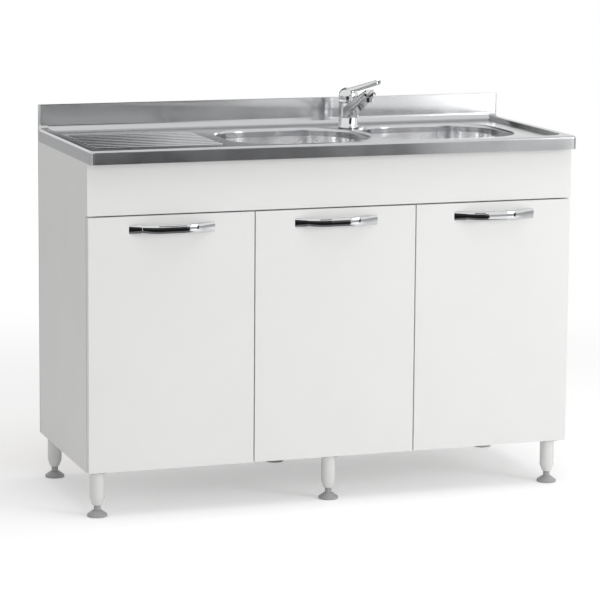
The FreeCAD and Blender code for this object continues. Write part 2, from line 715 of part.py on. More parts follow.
basket_top = S.waste_flange + S.swivel_clearance
knob_radius = S.spindle_radius
basket_floor = basket_top - S.basket_depth
basket_outline = [
    (ZERO, basket_floor),
    (basket_radius, basket_floor),
    (basket_radius, basket_top),
    (S.basket_rim_radius, basket_top),
    (S.basket_rim_radius, basket_top + S.basket_wall),
    (basket_radius - S.basket_wall, basket_top + S.basket_wall),
    (basket_radius - S.basket_wall, basket_floor + S.basket_wall),
    (knob_radius / 2, basket_floor + S.basket_wall),
    (knob_radius / 2, -knob_radius),
    (knob_radius, -knob_radius),
    (knob_radius, ZERO),
    (ZERO, ZERO),
]
for side, middle in bowl_places:
    place(keep(turned_body(f"waste_{side}", waste_outline)), middle, S.bowls_y, bowl_floor)
    basket = keep(turned_body(f"basket_{side}", basket_outline))
    hole = sketch_on(basket, f"basket_{side}_hole", "XY_Plane", basket_floor + S.basket_wall)
    draw_circle(hole, (basket_radius + knob_radius) / 2, ZERO, S.basket_hole_radius)
    bore = extrude(basket, "Pocket", f"basket_{side}_bore", hole, 2 * S.basket_wall)
    ring = basket.newObject("PartDesign::PolarPattern", f"basket_{side}_holes")
    ring.Originals = [bore]
    ring.Axis = (hole, ["N_Axis"])
    ring.Angle = 360
    bind(ring, "Occurrences", S.basket_holes)
    basket.Tip = ring
    place(basket, middle, S.bowls_y, bowl_floor)

gasket = turned_body("waste_gasket", [
    (S.waste_hole_radius, gasket_low),
    (S.waste_flange_radius, gasket_low),
    (S.waste_flange_radius, under_bowl),
    (S.waste_hole_radius, under_bowl),
])
keep(repeated("waste_gaskets", gasket, waste_centres))
ring_nut = turned_body("waste_nut", [
    (cup_outside + S.fit_clearance, gasket_low - S.nut_height),
    (S.waste_flange_radius, gasket_low - S.nut_height),
    (S.waste_flange_radius, gasket_low),
    (cup_outside + S.fit_clearance, gasket_low),
])
keep(repeated("waste_nuts", ring_nut, waste_centres))

# One bent pipe joins both wastes; a tee in its middle leads down to the bottle trap.
# At each joint a nut draws the flange of the one pipe against the threaded end of the other.
cross = keep(new_body("cross_pipe"))
path = sketch_on(cross, "cross_path", "XZ_Plane", -S.bowls_y)
draw_outline(path, [
    (bowls_x - bowl_step, stub_end),
    (bowls_x - bowl_step, cross_level, S.pipe_bend),
    (bowls_x + bowl_step, cross_level, S.pipe_bend),
    (bowls_x + bowl_step, stub_end),
], closed=False)
for kind, radius in (("Additive", S.pipe_radius), ("Subtractive", pipe_inside)):
    section = sketch_on(cross, f"cross_{kind}_section", "XY_Plane", stub_end)
    draw_circle(section, bowls_x - bowl_step, S.bowls_y, radius)
    if kind == "Subtractive":
        for part, tee_radius, length in (
                ("pipe", S.pipe_radius, S.tee_length),
                ("shoulder", shoulder_radius, half_nut),
                ("flange", union_radius, flange_length)):
            tee = sketch_on(cross, f"tee_{part}_section", "XY_Plane", trap_top)
            draw_circle(tee, bowls_x, S.bowls_y, tee_radius)
            extrude(cross, "Pad", f"tee_{part}", tee, length)
        threads = sketch_on(cross, "cross_threads_section", "XY_Plane", stub_end)
        for end in (-1, 1):
            draw_circle(threads, bowls_x + end * bowl_step, S.bowls_y, union_radius)
        extrude(cross, "Pad", "cross_threads", threads, half_nut + S.union_lip, turned=True)
    bend = cross.newObject(f"PartDesign::{kind}Pipe", f"cross_{kind}_bend")
    bend.Profile = section
    bend.Spine = (path, [f"Edge{i}" for i in range(1, len(path.Shape.Edges) + 1)])
    doc.recompute()
tee_bore = sketch_on(cross, "tee_bore_section", "XY_Plane", cross_level)
draw_circle(tee_bore, bowls_x, S.bowls_y, pipe_inside)
extrude(cross, "Pocket", "tee_bore", tee_bore, S.tee_length)

# Bottle trap: body with its dip tube, and the cup screwed on from below.
neck_low = -S.trap_neck
body_low = neck_low - S.trap_body_height
trap_inside = S.trap_radius - S.pipe_wall
dip_inside = pipe_inside - S.pipe_wall
dip_low = body_low - S.trap_cup_height / 2
trap = keep(turned_body("trap_body", [
    (dip_inside, ZERO),
    (union_radius, ZERO),
    (union_radius, neck_low),
    (S.trap_radius, neck_low),
    (S.trap_radius, body_low),
    (trap_inside, body_low),
    (trap_inside, neck_low - S.pipe_wall),
    (pipe_inside, neck_low - S.pipe_wall),
    (pipe_inside, dip_low),
    (dip_inside, dip_low),
]))
outlet_start = S.trap_radius + half_nut
stub = sketch_on(trap, "outlet_stub_section", "XZ_Plane", -outlet_start)
draw_circle(stub, ZERO, outlet_level, union_radius)
extrude(trap, "Pad", "outlet_stub", stub, outlet_start - pipe_inside - S.pipe_wall)
stub_bore = sketch_on(trap, "outlet_bore_section", "XZ_Plane", -outlet_start)
draw_circle(stub_bore, ZERO, outlet_level, pipe_inside)
extrude(trap, "Pocket", "outlet_bore", stub_bore, outlet_start - pipe_inside - S.pipe_wall, turned=True)
place(trap, bowls_x, S.bowls_y, trap_top)

collar_inside = S.trap_radius + S.fit_clearance
collar_outside = collar_inside + 2 * S.pipe_wall
cup_low = body_low - S.trap_cup_height
trap_cup = keep(turned_body("trap_cup", [
    (ZERO, cup_low),
    (S.trap_radius, cup_low, S.trap_neck),
    (S.trap_radius, body_low - S.pipe_wall),
    (collar_outside, body_low - S.pipe_wall),
    (collar_outside, body_low + S.trap_neck),
    (collar_inside, body_low + S.trap_neck),
    (collar_inside, body_low),
    (trap_inside, body_low),
    (trap_inside, cup_low + S.pipe_wall, S.trap_neck - S.pipe_wall),
    (ZERO, cup_low + S.pipe_wall),
]))
place(trap_cup, bowls_x, S.bowls_y, trap_top)

outlet = keep(new_body("outlet_pipe"))
outlet_length = back - S.bowls_y - outlet_start
for part, kind, radius, length in (
        ("flange", "Pad", union_radius, flange_length),
        ("shoulder", "Pad", shoulder_radius, half_nut),
        ("pipe", "Pad", S.pipe_radius, outlet_length),
        ("bore", "Pocket", pipe_inside, outlet_length)):
    section = sketch_on(outlet, f"outlet_{part}_section", "XZ_Plane", -S.bowls_y - outlet_start)
    draw_circle(section, bowls_x, trap_top + outlet_level, radius)
    extrude(outlet, kind, f"outlet_{part}", section, length, turned=(kind == "Pad"))

coupling = turned_body("pipe_nut", [
    (union_radius + S.fit_clearance, -half_nut),
    (S.pipe_radius + S.pipe_nut_wall, -half_nut),
    (S.pipe_radius + S.pipe_nut_wall, half_nut),
    (shoulder_radius + S.fit_clearance, half_nut),
    (shoulder_radius + S.fit_clearance, flange_length),
    (union_radius + S.fit_clearance, flange_length),
])
upright_nuts = repeated("upright_pipe_nuts", coupling, [
    (bowls_x - bowl_step, S.bowls_y, stub_end),
    (bowls_x + bowl_step, S.bowls_y, stub_end),
    (bowls_x, S.bowls_y, trap_top),
])
level_nut = doc.addObject("App::Link", "level_pipe_nut")
level_nut.LinkedObject = coupling
level_nut.LinkTransform = False
level_nut.Placement.Rotation = FreeCAD.Rotation(FreeCAD.Vector(1, 0, 0), -90)
place(level_nut, bowls_x, S.bowls_y + outlet_start, trap_top + outlet_level)
keep(group("pipe_nuts", [upright_nuts, level_nut]))

# ---------------------------------------------------------------- mixer tap, heights above the deck
tap_spot = (bowls_x, S.tap_y, deck)
keep(turned_body("tap_seal", [
    (S.shank_radius + S.fit_clearance, ZERO),
    (S.tap_base_radius, ZERO),
    (S.tap_base_radius, S.tap_seal),
    (S.shank_radius + S.fit_clearance, S.tap_seal),
]))
place(nodes[-1], *tap_spot)
swivel_low = S.tap_base_height + S.swivel_clearance
swivel_high = swivel_low + S.swivel_height
collar_low = swivel_high + S.swivel_clearance
column_top = collar_low + S.collar_height
foot_edge = 2 * S.tap_seal
tap_body = keep(turned_body("tap_body", [
    (ZERO, -S.shank_length),
    (S.shank_radius, -S.shank_length),
    (S.shank_radius, S.tap_seal),
    (S.tap_base_radius, S.tap_seal),
    (S.tap_base_radius, S.tap_seal + foot_edge),
    (S.tap_radius, S.tap_seal + 2 * foot_edge),
    (S.tap_radius, S.tap_base_height),
    (S.tap_column_radius, S.tap_base_height),
    (S.tap_column_radius, column_top),
    (ZERO, column_top),
]))
for number, side in enumerate((-1, 1)):
    inlet = sketch_on(tap_body, f"inlet_{number}", "XY_Plane", -S.shank_length)
    draw_circle(inlet, side * S.inlet_spacing / 2, ZERO, S.inlet_radius)
    extrude(tap_body, "Pocket", f"inlet_{number}_bore", inlet, S.inlet_depth, turned=True)
place(tap_body, *tap_spot)
keep(turned_body("tap_collar", [
    (S.tap_column_radius + S.fit_clearance, collar_low),
    (S.tap_radius, collar_low),
    (S.tap_radius, column_top),
    (S.tap_column_radius + S.fit_clearance, column_top),
]))
place(nodes[-1], *tap_spot)
keep(turned_body("tap_clamp", [
    (S.shank_radius + S.fit_clearance, -S.sheet - S.clamp_thickness),
    (S.clamp_radius, -S.sheet - S.clamp_thickness),
    (S.clamp_radius, -S.sheet),
    (S.shank_radius + S.fit_clearance, -S.sheet),
]))
place(nodes[-1], *tap_spot)
nut_top = -S.sheet - S.clamp_thickness
keep(turned_body("tap_nut", [
    (S.shank_radius + S.fit_clearance, nut_top - S.tap_nut_height),
    (S.tap_nut_radius, nut_top - S.tap_nut_height),
    (S.tap_nut_radius, nut_top),
    (S.shank_radius + S.fit_clearance, nut_top),
]))
place(nodes[-1], *tap_spot)

# The spout is cast in one piece with its swivel ring and rises straight to its nose.
spout = keep(turned_body("spout", [
    (ZERO, swivel_low),
    (S.tap_radius, swivel_low),
    (S.tap_radius, swivel_high),
    (ZERO, swivel_high),
]))
root_front = S.tap_column_radius
nose_low = swivel_low + (S.spout_length - root_front) * tangent_of(S.spout_rise)
root_sketch = sketch_on(spout, "spout_root", "XZ_Plane", root_front)
root_top = swivel_high - S.spout_drop - (S.tap_radius - root_front) * tangent_of(S.spout_rise)
draw_rectangle(root_sketch, -S.spout_width / 2, swivel_low, S.spout_width / 2, root_top, S.nose_height / 2.5)
nose_sketch = sketch_on(spout, "spout_nose", "XZ_Plane", S.spout_length)
draw_rectangle(nose_sketch, -S.nose_width / 2, nose_low, S.nose_width / 2, nose_low + S.nose_height,
               S.nose_height / 2.5)
arm = spout.newObject("PartDesign::AdditiveLoft", "spout_arm")
arm.Profile = root_sketch
arm.Sections = [nose_sketch]
arm.Ruled = True
doc.recompute()
bearing = sketch_on(spout, "spout_bearing", "XY_Plane", swivel_high)
draw_circle(bearing, ZERO, ZERO, S.tap_column_radius + S.swivel_clearance)
extrude(spout, "Pocket", "spout_bearing_bore", bearing, 2 * S.swivel_height)
outlet_back = S.spout_length - S.nose_width / 2
aerator_top = nose_low + S.nose_height / 2.5
seat = sketch_on(spout, "aerator_seat", "XY_Plane", aerator_top)
draw_circle(seat, ZERO, -outlet_back, S.aerator_radius)
extrude(spout, "Pocket", "aerator_seat_bore", seat, S.spout_length)
place(spout, *tap_spot)
aerator = keep(new_body("aerator"))
for kind, radius in (("Pad", S.aerator_radius), ("Pocket", S.aerator_radius - S.pipe_wall)):
    section = sketch_on(aerator, f"aerator_{kind}_section", "XY_Plane", aerator_top)
    draw_circle(section, ZERO, -outlet_back, radius)
    depth = S.aerator_height + S.nose_height / 2
    extrude(aerator, kind, f"aerator_{kind}", section, depth, turned=(kind == "Pad"))
place(aerator, *tap_spot)

# The spindle turns for the temperature; the cap and its lever tilt on it for the flow.
spindle_low = column_top + S.swivel_clearance
cap_low = column_top + S.cap_gap
cap_top = cap_low + S.cap_height
cap_roof = cap_top - 3 * S.cap_wall
keep(turned_body("lever_spindle", [
    (ZERO, spindle_low),
    (S.spindle_radius, spindle_low),
    (S.spindle_radius, cap_roof - S.swivel_clearance),
    (ZERO, cap_roof - S.swivel_clearance),
]))
place(nodes[-1], *tap_spot)
lever = keep(turned_body("lever", [
    (S.tap_radius - S.cap_wall, cap_low),
    (S.tap_radius, cap_low),
    (S.tap_radius, cap_top, S.tap_radius * 0.8),
    (ZERO, cap_top),
    (ZERO, cap_roof),
    (S.tap_radius - S.cap_wall, cap_roof),
]))
lever_root_low = cap_top - S.swivel_clearance - S.lever_height
lever_tip_low = lever_root_low + S.lever_rise
for part, reach, low, width in (
        ("root", S.tap_radius / 3, lever_root_low, S.lever_root_width),
        ("tip", S.lever_length, lever_tip_low, S.lever_tip_width)):
    lever_end = sketch_on(lever, f"lever_{part}", "XZ_Plane", reach)
    draw_rectangle(lever_end, -width / 2, low, width / 2, low + S.lever_height, S.lever_edge)
stick = lever.newObject("PartDesign::AdditiveLoft", "lever_stick")
stick.Profile = doc.getObject("lever_root")
stick.Sections = [doc.getObject("lever_tip")]
stick.Ruled = True
doc.recompute()
lever.Placement.Rotation = FreeCAD.Rotation(FreeCAD.Vector(0, 0, 1), 1)
bind(lever, "Placement.Rotation.Angle", S.lever_turn)
place(lever, *tap_spot)

# ---------------------------------------------------------------- doors and their handles
door_edges = [
    ("left", left + S.joint / 2),
    ("middle", split_left + S.joint / 2),
    ("right", split_left + S.unit_width / 3 + S.joint / 2),
]
hinge_heights = [door_low + S.hinge_inset, door_top - S.hinge_inset]
handle_level = door_top - S.handle_drop
screw_hole = S.screw_radius + S.pin_clearance
for side, edge in door_edges:
    door = keep(new_body(f"door_{side}"))
    front = sketch_on(door, f"door_{side}_outline", "XZ_Plane", -door_front)
    draw_rectangle(front, edge, door_low, edge + door_width, door_top)
    extrude(door, "Pad", f"door_{side}_board", front, S.board, turned=True)
    cup_x = edge + S.cup_edge if side != "right" else edge + door_width - S.cup_edge
    cups = sketch_on(door, f"door_{side}_cup_circles", "XZ_Plane", -door_back)
    for height in hinge_heights:
        draw_circle(cups, cup_x, height, S.cup_radius)
    extrude(door, "Pocket", f"door_{side}_cup_bores", cups, S.cup_depth, turned=True)
    holes = sketch_on(door, f"door_{side}_screw_circles", "XZ_Plane", -door_front)
    middle = edge + door_width / 2
    for end in (-1, 1):
        draw_circle(holes, middle + end * S.screw_spacing / 2, handle_level, screw_hole)
    extrude(door, "Pocket", f"door_{side}_screw_bores", holes, S.board)

# The bow handle, seen from above: two sloping ends and a long flat middle. Y counts from the door.
outer_slope = S.handle_length / 2 - S.handle_slope
inner_foot = S.handle_length / 2 - S.handle_foot
inner_reach = S.handle_reach - S.handle_thickness
inner_bend = S.handle_bend - 2 * S.handle_thickness
inner_slope = outer_slope - S.handle_thickness
bow = new_body("bow_handle")
plan = sketch_on(bow, "bow_plan", "XY_Plane")
draw_outline(plan, [
    (-S.handle_length / 2, ZERO),
    (-outer_slope, -S.handle_reach, S.handle_bend),
    (outer_slope, -S.handle_reach, S.handle_bend),
    (S.handle_length / 2, ZERO),
    (inner_foot, ZERO),
    (inner_slope, -inner_reach, inner_bend),
    (-inner_slope, -inner_reach, inner_bend),
    (-inner_foot, ZERO),
])
extrude(bow, "Pad", "bow_bar", plan, S.handle_height, both_ways=True)
round_edges(bow, "bow_edges", S.handle_edge,
            lambda e: is_level(e) and e.BoundBox.YMin < -0.01)
screw_seats = sketch_on(bow, "bow_screw_circles", "XZ_Plane")
for end in (-1, 1):
    draw_circle(screw_seats, end * S.screw_spacing / 2, ZERO, screw_hole)
extrude(bow, "Pocket", "bow_screw_bores", screw_seats, S.screw_grip, turned=True)
screw = new_body("handle_screw")
for part, radius, start, length in (
        ("shank", S.screw_radius, S.board, S.board + S.screw_grip),
        ("head", S.screw_head_radius, S.board + S.screw_head, S.screw_head)):
    section = sketch_on(screw, f"screw_{part}_circle", "XZ_Plane", -start)
    draw_circle(section, ZERO, ZERO, radius)
    extrude(screw, "Pad", f"screw_{part}", section, length)
for side, edge in door_edges:
    middle = edge + door_width / 2
    keep(repeated(f"handle_{side}", bow, [(middle, door_front, handle_level)]))
    keep(repeated(f"handle_screws_{side}", screw, [
        (middle + end * S.screw_spacing / 2, door_front, handle_level) for end in (-1, 1)]))

# ---------------------------------------------------------------- concealed hinges
# A hinge is drawn for a left-hung door: X from the door's hinge edge, Y from its face, Z from its middle.
hinge_cup = new_body("hinge_cup")
cup_back = S.board + S.cup_flange
outer_circle = sketch_on(hinge_cup, "hinge_cup_circle", "XZ_Plane", -cup_back)
draw_circle(outer_circle, S.cup_edge, ZERO, S.cup_radius)
extrude(hinge_cup, "Pad", "hinge_cup_form", outer_circle, S.cup_depth + S.cup_flange)
ears = sketch_on(hinge_cup, "hinge_cup_ears", "XZ_Plane", -cup_back)
draw_rectangle(ears, S.cup_edge - S.cup_flange_width / 2, -S.cup_flange_height / 2,
               S.cup_edge + S.cup_flange_width / 2, S.cup_flange_height / 2)
extrude(hinge_cup, "Pad", "hinge_cup_flange", ears, S.cup_flange)
inner_circle = sketch_on(hinge_cup, "hinge_cup_inside", "XZ_Plane", -cup_back)
draw_circle(inner_circle, S.cup_edge, ZERO, S.cup_radius - S.cup_wall)
cup_hollow = S.cup_depth + S.cup_flange - S.cup_wall
extrude(hinge_cup, "Pocket", "hinge_cup_hollow", inner_circle, cup_hollow, turned=True)
cup_pin = sketch_on(hinge_cup, "cup_pin_circle", "XY_Plane")
draw_circle(cup_pin, S.cup_pin_edge, S.cup_pin_depth, S.hinge_pin_radius)
extrude(hinge_cup, "Pad", "cup_pin", cup_pin, S.cup_pin_length, both_ways=True)

# The bowed link, drawn along its chord with the bow towards -Y, then laid between both pins.
chord_x = S.arm_pin_edge - S.cup_pin_edge
chord_y = S.arm_pin_depth - S.cup_pin_depth
half_chord = length_of(chord_x, chord_y) / 2
bow_radius = (half_chord * half_chord + S.link_sagitta * S.link_sagitta) / (2 * S.link_sagitta)
bow_centre = bow_radius - S.link_sagitta
link = new_body("hinge_link")
for kind, radius in (("Pad", bow_radius + S.link_thickness / 2), ("Pocket", bow_radius - S.link_thickness / 2)):
    circle = sketch_on(link, f"link_{kind}_circle", "XY_Plane")
    draw_circle(circle, ZERO, bow_centre, radius)
    extrude(link, kind, f"link_{kind}_ring", circle, S.link_height, both_ways=True)
far_half = sketch_on(link, "link_far_half", "XY_Plane")
draw_rectangle(far_half, -2 * bow_radius, ZERO, 2 * bow_radius, 3 * bow_radius)
extrude(link, "Pocket", "link_bow", far_half, S.link_height, both_ways=True)
for kind, radius in (("Pad", S.link_boss_radius), ("Pocket", S.hinge_pin_radius + S.pin_clearance)):
    ends = sketch_on(link, f"link_{kind}_ends", "XY_Plane")
    for end in (-1, 1):
        draw_circle(ends, end * half_chord, ZERO, radius)
    extrude(link, kind, f"link_{kind}_eyes", ends, S.link_height, both_ways=True)
link.Placement.Rotation = FreeCAD.Rotation(FreeCAD.Vector(0, 0, 1), 1)
bind(link, "Placement.Rotation.Angle", direction_of(chord_x, chord_y))
place(link, S.cup_pin_edge + chord_x / 2, S.cup_pin_depth + chord_y / 2)
laid_link = group("laid_hinge_link", [link])

# The arm: a box folded from sheet, open at both ends, whose cheeks hold the pin.
hinge_arm = new_body("hinge_arm")
arm_back_edge = S.arm_pin_edge + S.arm_nose_radius
arm_end = S.arm_pin_depth + S.arm_length
bridge_start = S.arm_pin_depth + S.arm_bridge_setback
cheeks = sketch_on(hinge_arm, "arm_cheeks", "XY_Plane")
draw_outline(cheeks, [
    (S.arm_foot_edge, bridge_start),
    (arm_back_edge - 2 * S.arm_nose_radius, S.arm_pin_depth - S.arm_nose_radius, S.arm_nose_radius),
    (arm_back_edge, S.arm_pin_depth - S.arm_nose_radius, S.arm_nose_radius),
    (arm_back_edge, arm_end),
    (S.arm_foot_edge, arm_end),
])
extrude(hinge_arm, "Pad", "arm_block", cheeks, S.arm_height, both_ways=True)
inside = sketch_on(hinge_arm, "arm_inside", "XY_Plane")
draw_rectangle(inside, S.arm_foot_edge + S.arm_sheet, bridge_start - S.arm_length,
               arm_back_edge - S.arm_sheet, arm_end + S.arm_sheet)
extrude(hinge_arm, "Pocket", "arm_hollow", inside, S.arm_height - 2 * S.arm_sheet, both_ways=True)
mouth = sketch_on(hinge_arm, "arm_mouth", "XY_Plane")
draw_rectangle(mouth, ZERO, ZERO, 2 * arm_back_edge, bridge_start)
extrude(hinge_arm, "Pocket", "arm_opening", mouth, S.arm_height - 2 * S.arm_sheet, both_ways=True)
arm_pin = sketch_on(hinge_arm, "arm_pin_circle", "XY_Plane")
draw_circle(arm_pin, S.arm_pin_edge, S.arm_pin_depth, S.hinge_pin_radius)
extrude(hinge_arm, "Pad", "arm_pin", arm_pin, S.arm_height, both_ways=True)

left_edges = [edge for _, edge in door_edges[:2]]
arm_sets = []
cup_sets = []
link_sets = []
for side, edge in door_edges[:2]:
    spots = [(edge, door_front, height) for height in hinge_heights]
    cup_sets.append(keep(repeated(f"hinge_cups_{side}", hinge_cup, spots)))
    link_sets.append(keep(repeated(f"hinge_links_{side}", laid_link, spots)))
    arm_sets.append(repeated(f"hinge_arms_{side}", hinge_arm, spots))
keep(mirrored("hinge_cups_right", cup_sets[0]))
keep(mirrored("hinge_links_right", link_sets[0]))
arm_sets.append(mirrored("hinge_arms_right", arm_sets[0]))
keep(group("hinge_arms", arm_sets))
plate_front = carcass_front + S.plate_setback - S.plate_width / 2
plates = []
for name, panel_face, edge in (("left", inside_left, left_edges[0]),
                               ("middle", split_left + S.board / 2, left_edges[1])):
    for height in hinge_heights:
        low = (panel_face, plate_front, height - S.plate_height / 2)
        high = (edge + S.arm_foot_edge, plate_front + S.plate_width, height + S.plate_height / 2)
        plates.append(block(f"hinge_plate_{name}_{len(plates)}", low, high))
plates += [mirrored(f"hinge_plate_right_{number}", plates[number]) for number in range(2)]
keep(group("hinge_plates", plates))

# ---------------------------------------------------------------- adjustable feet
leg_top = S.leg_height - S.leg_plate
leg_rows = [("front", carcass_front + S.leg_front), ("rear", back - S.leg_back)]
leg_columns = [("left", left + S.leg_inset), ("middle", ZERO), ("right", right - S.leg_inset)]
leg_spots = [(x, y, ZERO) for _, y in leg_rows for _, x in leg_columns]
half_side = S.leg_plate_side / 2
leg_plate = block("leg_plate", (-half_side, -half_side, leg_top), (half_side, half_side, S.leg_height))
keep(repeated("leg_plates", group("leg_plate_source", [leg_plate]), leg_spots))
tube_low = leg_top - S.leg_straight - S.leg_cone
stem_bore = S.foot_stem_radius + S.foot_clearance
leg_tube = turned_body("leg_tube", [
    (stem_bore, tube_low),
    (S.leg_neck_radius, tube_low),
    (S.leg_radius, tube_low + S.leg_cone),
    (S.leg_radius, leg_top),
    (stem_bore, leg_top),
])
keep(repeated("leg_tubes", leg_tube, leg_spots))
pad_top = S.foot_base + S.foot_bell
foot = turned_body("foot", [
    (ZERO, ZERO),
    (S.foot_radius, ZERO),
    (S.foot_radius, S.foot_base),
    (S.leg_neck_radius, pad_top),
    (S.foot_stem_radius, pad_top),
    (S.foot_stem_radius, pad_top + S.foot_stem),
    (ZERO, pad_top + S.foot_stem),
])
for row, y in leg_rows:
    for column, x in leg_columns:
        keep(repeated(f"foot_{row}_{column}", foot, [(x, y, ZERO)]))

# ---------------------------------------------------------------- checks, then one file for each node
doc.recompute()
for item in doc.Objects:
    if "Invalid" in item.State or "Error" in item.State:
        raise RuntimeError(f"{item.Label}: {item.State}")
for item in nodes:
    if item.Shape.isNull() or not item.Shape.isValid():
        raise RuntimeError(f"{item.Label} has no valid shape")
os.makedirs("parts", exist_ok=True)
for item in nodes:
    item.Shape.exportStep(f"parts/{item.Label}.step")
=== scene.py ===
import json
import math

import bmesh
import bpy
from mathutils import Matrix, Vector


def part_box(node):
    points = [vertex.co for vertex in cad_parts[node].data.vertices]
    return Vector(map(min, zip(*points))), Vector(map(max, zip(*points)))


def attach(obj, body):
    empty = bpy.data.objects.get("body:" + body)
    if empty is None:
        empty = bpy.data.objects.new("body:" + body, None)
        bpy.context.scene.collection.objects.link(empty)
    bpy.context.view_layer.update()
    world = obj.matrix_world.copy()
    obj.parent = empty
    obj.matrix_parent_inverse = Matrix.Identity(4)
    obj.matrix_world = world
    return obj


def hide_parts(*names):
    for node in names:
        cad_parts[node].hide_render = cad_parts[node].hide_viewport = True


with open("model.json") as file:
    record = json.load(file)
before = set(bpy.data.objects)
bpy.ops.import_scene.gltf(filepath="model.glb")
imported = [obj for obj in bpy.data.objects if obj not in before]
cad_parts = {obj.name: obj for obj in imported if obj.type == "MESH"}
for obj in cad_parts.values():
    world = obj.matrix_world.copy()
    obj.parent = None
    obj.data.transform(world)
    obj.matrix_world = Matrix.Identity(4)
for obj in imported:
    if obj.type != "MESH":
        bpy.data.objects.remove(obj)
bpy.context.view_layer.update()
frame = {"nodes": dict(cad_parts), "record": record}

# ---- Camera ------------------------------------------------------------------------------
# A long lens about six metres away, left of the middle and above the top. The upright lines of
# the view stay nearly parallel, so the camera looks down a little and its lens is shifted too.
CAMERA_SPOT = (-2.1225, -6.0609, 1.5666)
CAMERA_YAW = 19.184
CAMERA_PITCH = -8.331
CAMERA_ROLL = 0.436
LENS_MM = 161.07
LENS_SHIFT = -0.12

yaw, pitch, roll = (math.radians(angle) for angle in (CAMERA_YAW, CAMERA_PITCH, CAMERA_ROLL))
ahead = Vector((math.sin(yaw) * math.cos(pitch), math.cos(yaw) * math.cos(pitch), math.sin(pitch)))
level = Vector((math.cos(yaw), -math.sin(yaw), 0))
upward = level.cross(ahead)
right_hand = level * math.cos(roll) + upward * math.sin(roll)
head_up = upward * math.cos(roll) - level * math.sin(roll)
camera = bpy.data.objects.new("camera", bpy.data.cameras.new("camera"))
camera.data.sensor_width = 36
camera.data.lens = LENS_MM
camera.data.shift_y = LENS_SHIFT
camera.data.clip_end = 100
turned = Matrix((right_hand, head_up, -ahead)).transposed().to_4x4()
camera.matrix_world = Matrix.Translation(CAMERA_SPOT) @ turned
bpy.context.collection.objects.link(camera)
bpy.context.scene.camera = camera
bpy.context.scene.view_settings.view_transform = "Standard"


# ---- Studio ------------------------------------------------------------------------------
# A white paper floor in white surroundings, under soft lamps: a wide one above, the key on the
# right and a weak fill low on the left. Flags that only metal can mirror, dark ones in front, behind
# and on the right and a grey one on the floor, give the chrome and the steel their bands.
def linear(shade):
    """A sRGB hex value as linear red, green, blue and alpha."""
    parts = [int(shade[i:i + 2], 16) / 255 for i in (1, 3, 5)]
    return tuple(p / 12.92 if p <= 0.04045 else ((p + 0.055) / 1.055) ** 2.4 for p in parts) + (1,)


def add_node(tree, kind, values=None, links=None, **settings):
    """A node with its settings, its input values and the sockets that feed it."""
    node = tree.nodes.new(kind)
    for name, value in settings.items():
        setattr(node, name, value)
    for name, value in (values or {}).items():
        node.inputs[name].default_value = value
    for name, socket in (links or {}).items():
        tree.links.new(socket, node.inputs[name])
    return node


def empty_material(name):
    material = bpy.data.materials.new(name)
    material.use_nodes = True
    material.node_tree.nodes.clear()
    return material, material.node_tree


WORLD_LIGHT = 0.5
world = bpy.data.worlds.new("studio")
bpy.context.scene.world = world
world.use_nodes = True
sky = world.node_tree
sky.nodes.clear()
ray = add_node(sky, "ShaderNodeLightPath")
seen = add_node(sky, "ShaderNodeMath", operation="MAXIMUM",
                links={0: ray.outputs["Is Camera Ray"], 1: ray.outputs["Is Glossy Ray"]})
seen = add_node(sky, "ShaderNodeMath", operation="MAXIMUM",
                links={0: seen.outputs[0], 1: ray.outputs["Is Transmission Ray"]})
strength = add_node(sky, "ShaderNodeMapRange", {"To Min": WORLD_LIGHT, "To Max": 1.0},
                    {"Value": seen.outputs[0]})
glow = add_node(sky, "ShaderNodeBackground", {"Color": (1, 1, 1, 1)}, {"Strength": strength.outputs[0]})
add_node(sky, "ShaderNodeOutputWorld", links={"Surface": glow.outputs[0]})

# The paper keeps the object's shadow and fades to plain white further out.
FLOOR_WHITE = "#f4f4f4"
FLOOR_LIFT = 0.27
FLOOR_REACH = 12
FADE_FROM = 1.3
FADE_TO = 2.6
floor_paper, tree = empty_material("white studio paper")
ray = add_node(tree, "ShaderNodeLightPath")
spot = add_node(tree, "ShaderNodeNewGeometry")
paper = add_node(tree, "ShaderNodeBsdfDiffuse", {"Color": linear(FLOOR_WHITE)})
lift = add_node(tree, "ShaderNodeMath", {1: FLOOR_LIFT}, {0: ray.outputs["Is Camera Ray"]},
                operation="MULTIPLY")
lifted = add_node(tree, "ShaderNodeEmission", links={"Strength": lift.outputs[0]})
lit = add_node(tree, "ShaderNodeAddShader", links={0: paper.outputs[0], 1: lifted.outputs[0]})
away = add_node(tree, "ShaderNodeVectorMath", links={0: spot.outputs["Position"]}, operation="LENGTH")
fade = add_node(tree, "ShaderNodeMapRange", {"From Min": FADE_FROM, "From Max": FADE_TO},
                {"Value": away.outputs["Value"]}, interpolation_type="SMOOTHSTEP")
shown = add_node(tree, "ShaderNodeMath", links={0: fade.outputs[0], 1: ray.outputs["Is Camera Ray"]},
                 operation="MULTIPLY")
white = add_node(tree, "ShaderNodeEmission", {"Color": (1, 1, 1, 1), "Strength": 1.0})
blend = add_node(tree, "ShaderNodeMixShader",
                 links={0: shown.outputs[0], 1: lit.outputs[0], 2: white.outputs[0]})
add_node(tree, "ShaderNodeOutputMaterial", links={"Surface": blend.outputs[0]})


def studio_sheet(name, corners, material):
    mesh = bpy.data.meshes.new(name)
    mesh.from_pydata(corners, [], [(0, 1, 2, 3)])
    mesh.materials.append(material)
    sheet = bpy.data.objects.new(name, mesh)
    bpy.context.collection.objects.link(sheet)
    return sheet


def level_corners(x0, y0, x1, y1, z):
    return [(x0, y0, z), (x1, y0, z), (x1, y1, z), (x0, y1, z)]


def upright_corners(x0, y0, x1, y1, z0, z1):
    return [(x0, y0, z0), (x1, y1, z0), (x1, y1, z1), (x0, y0, z1)]


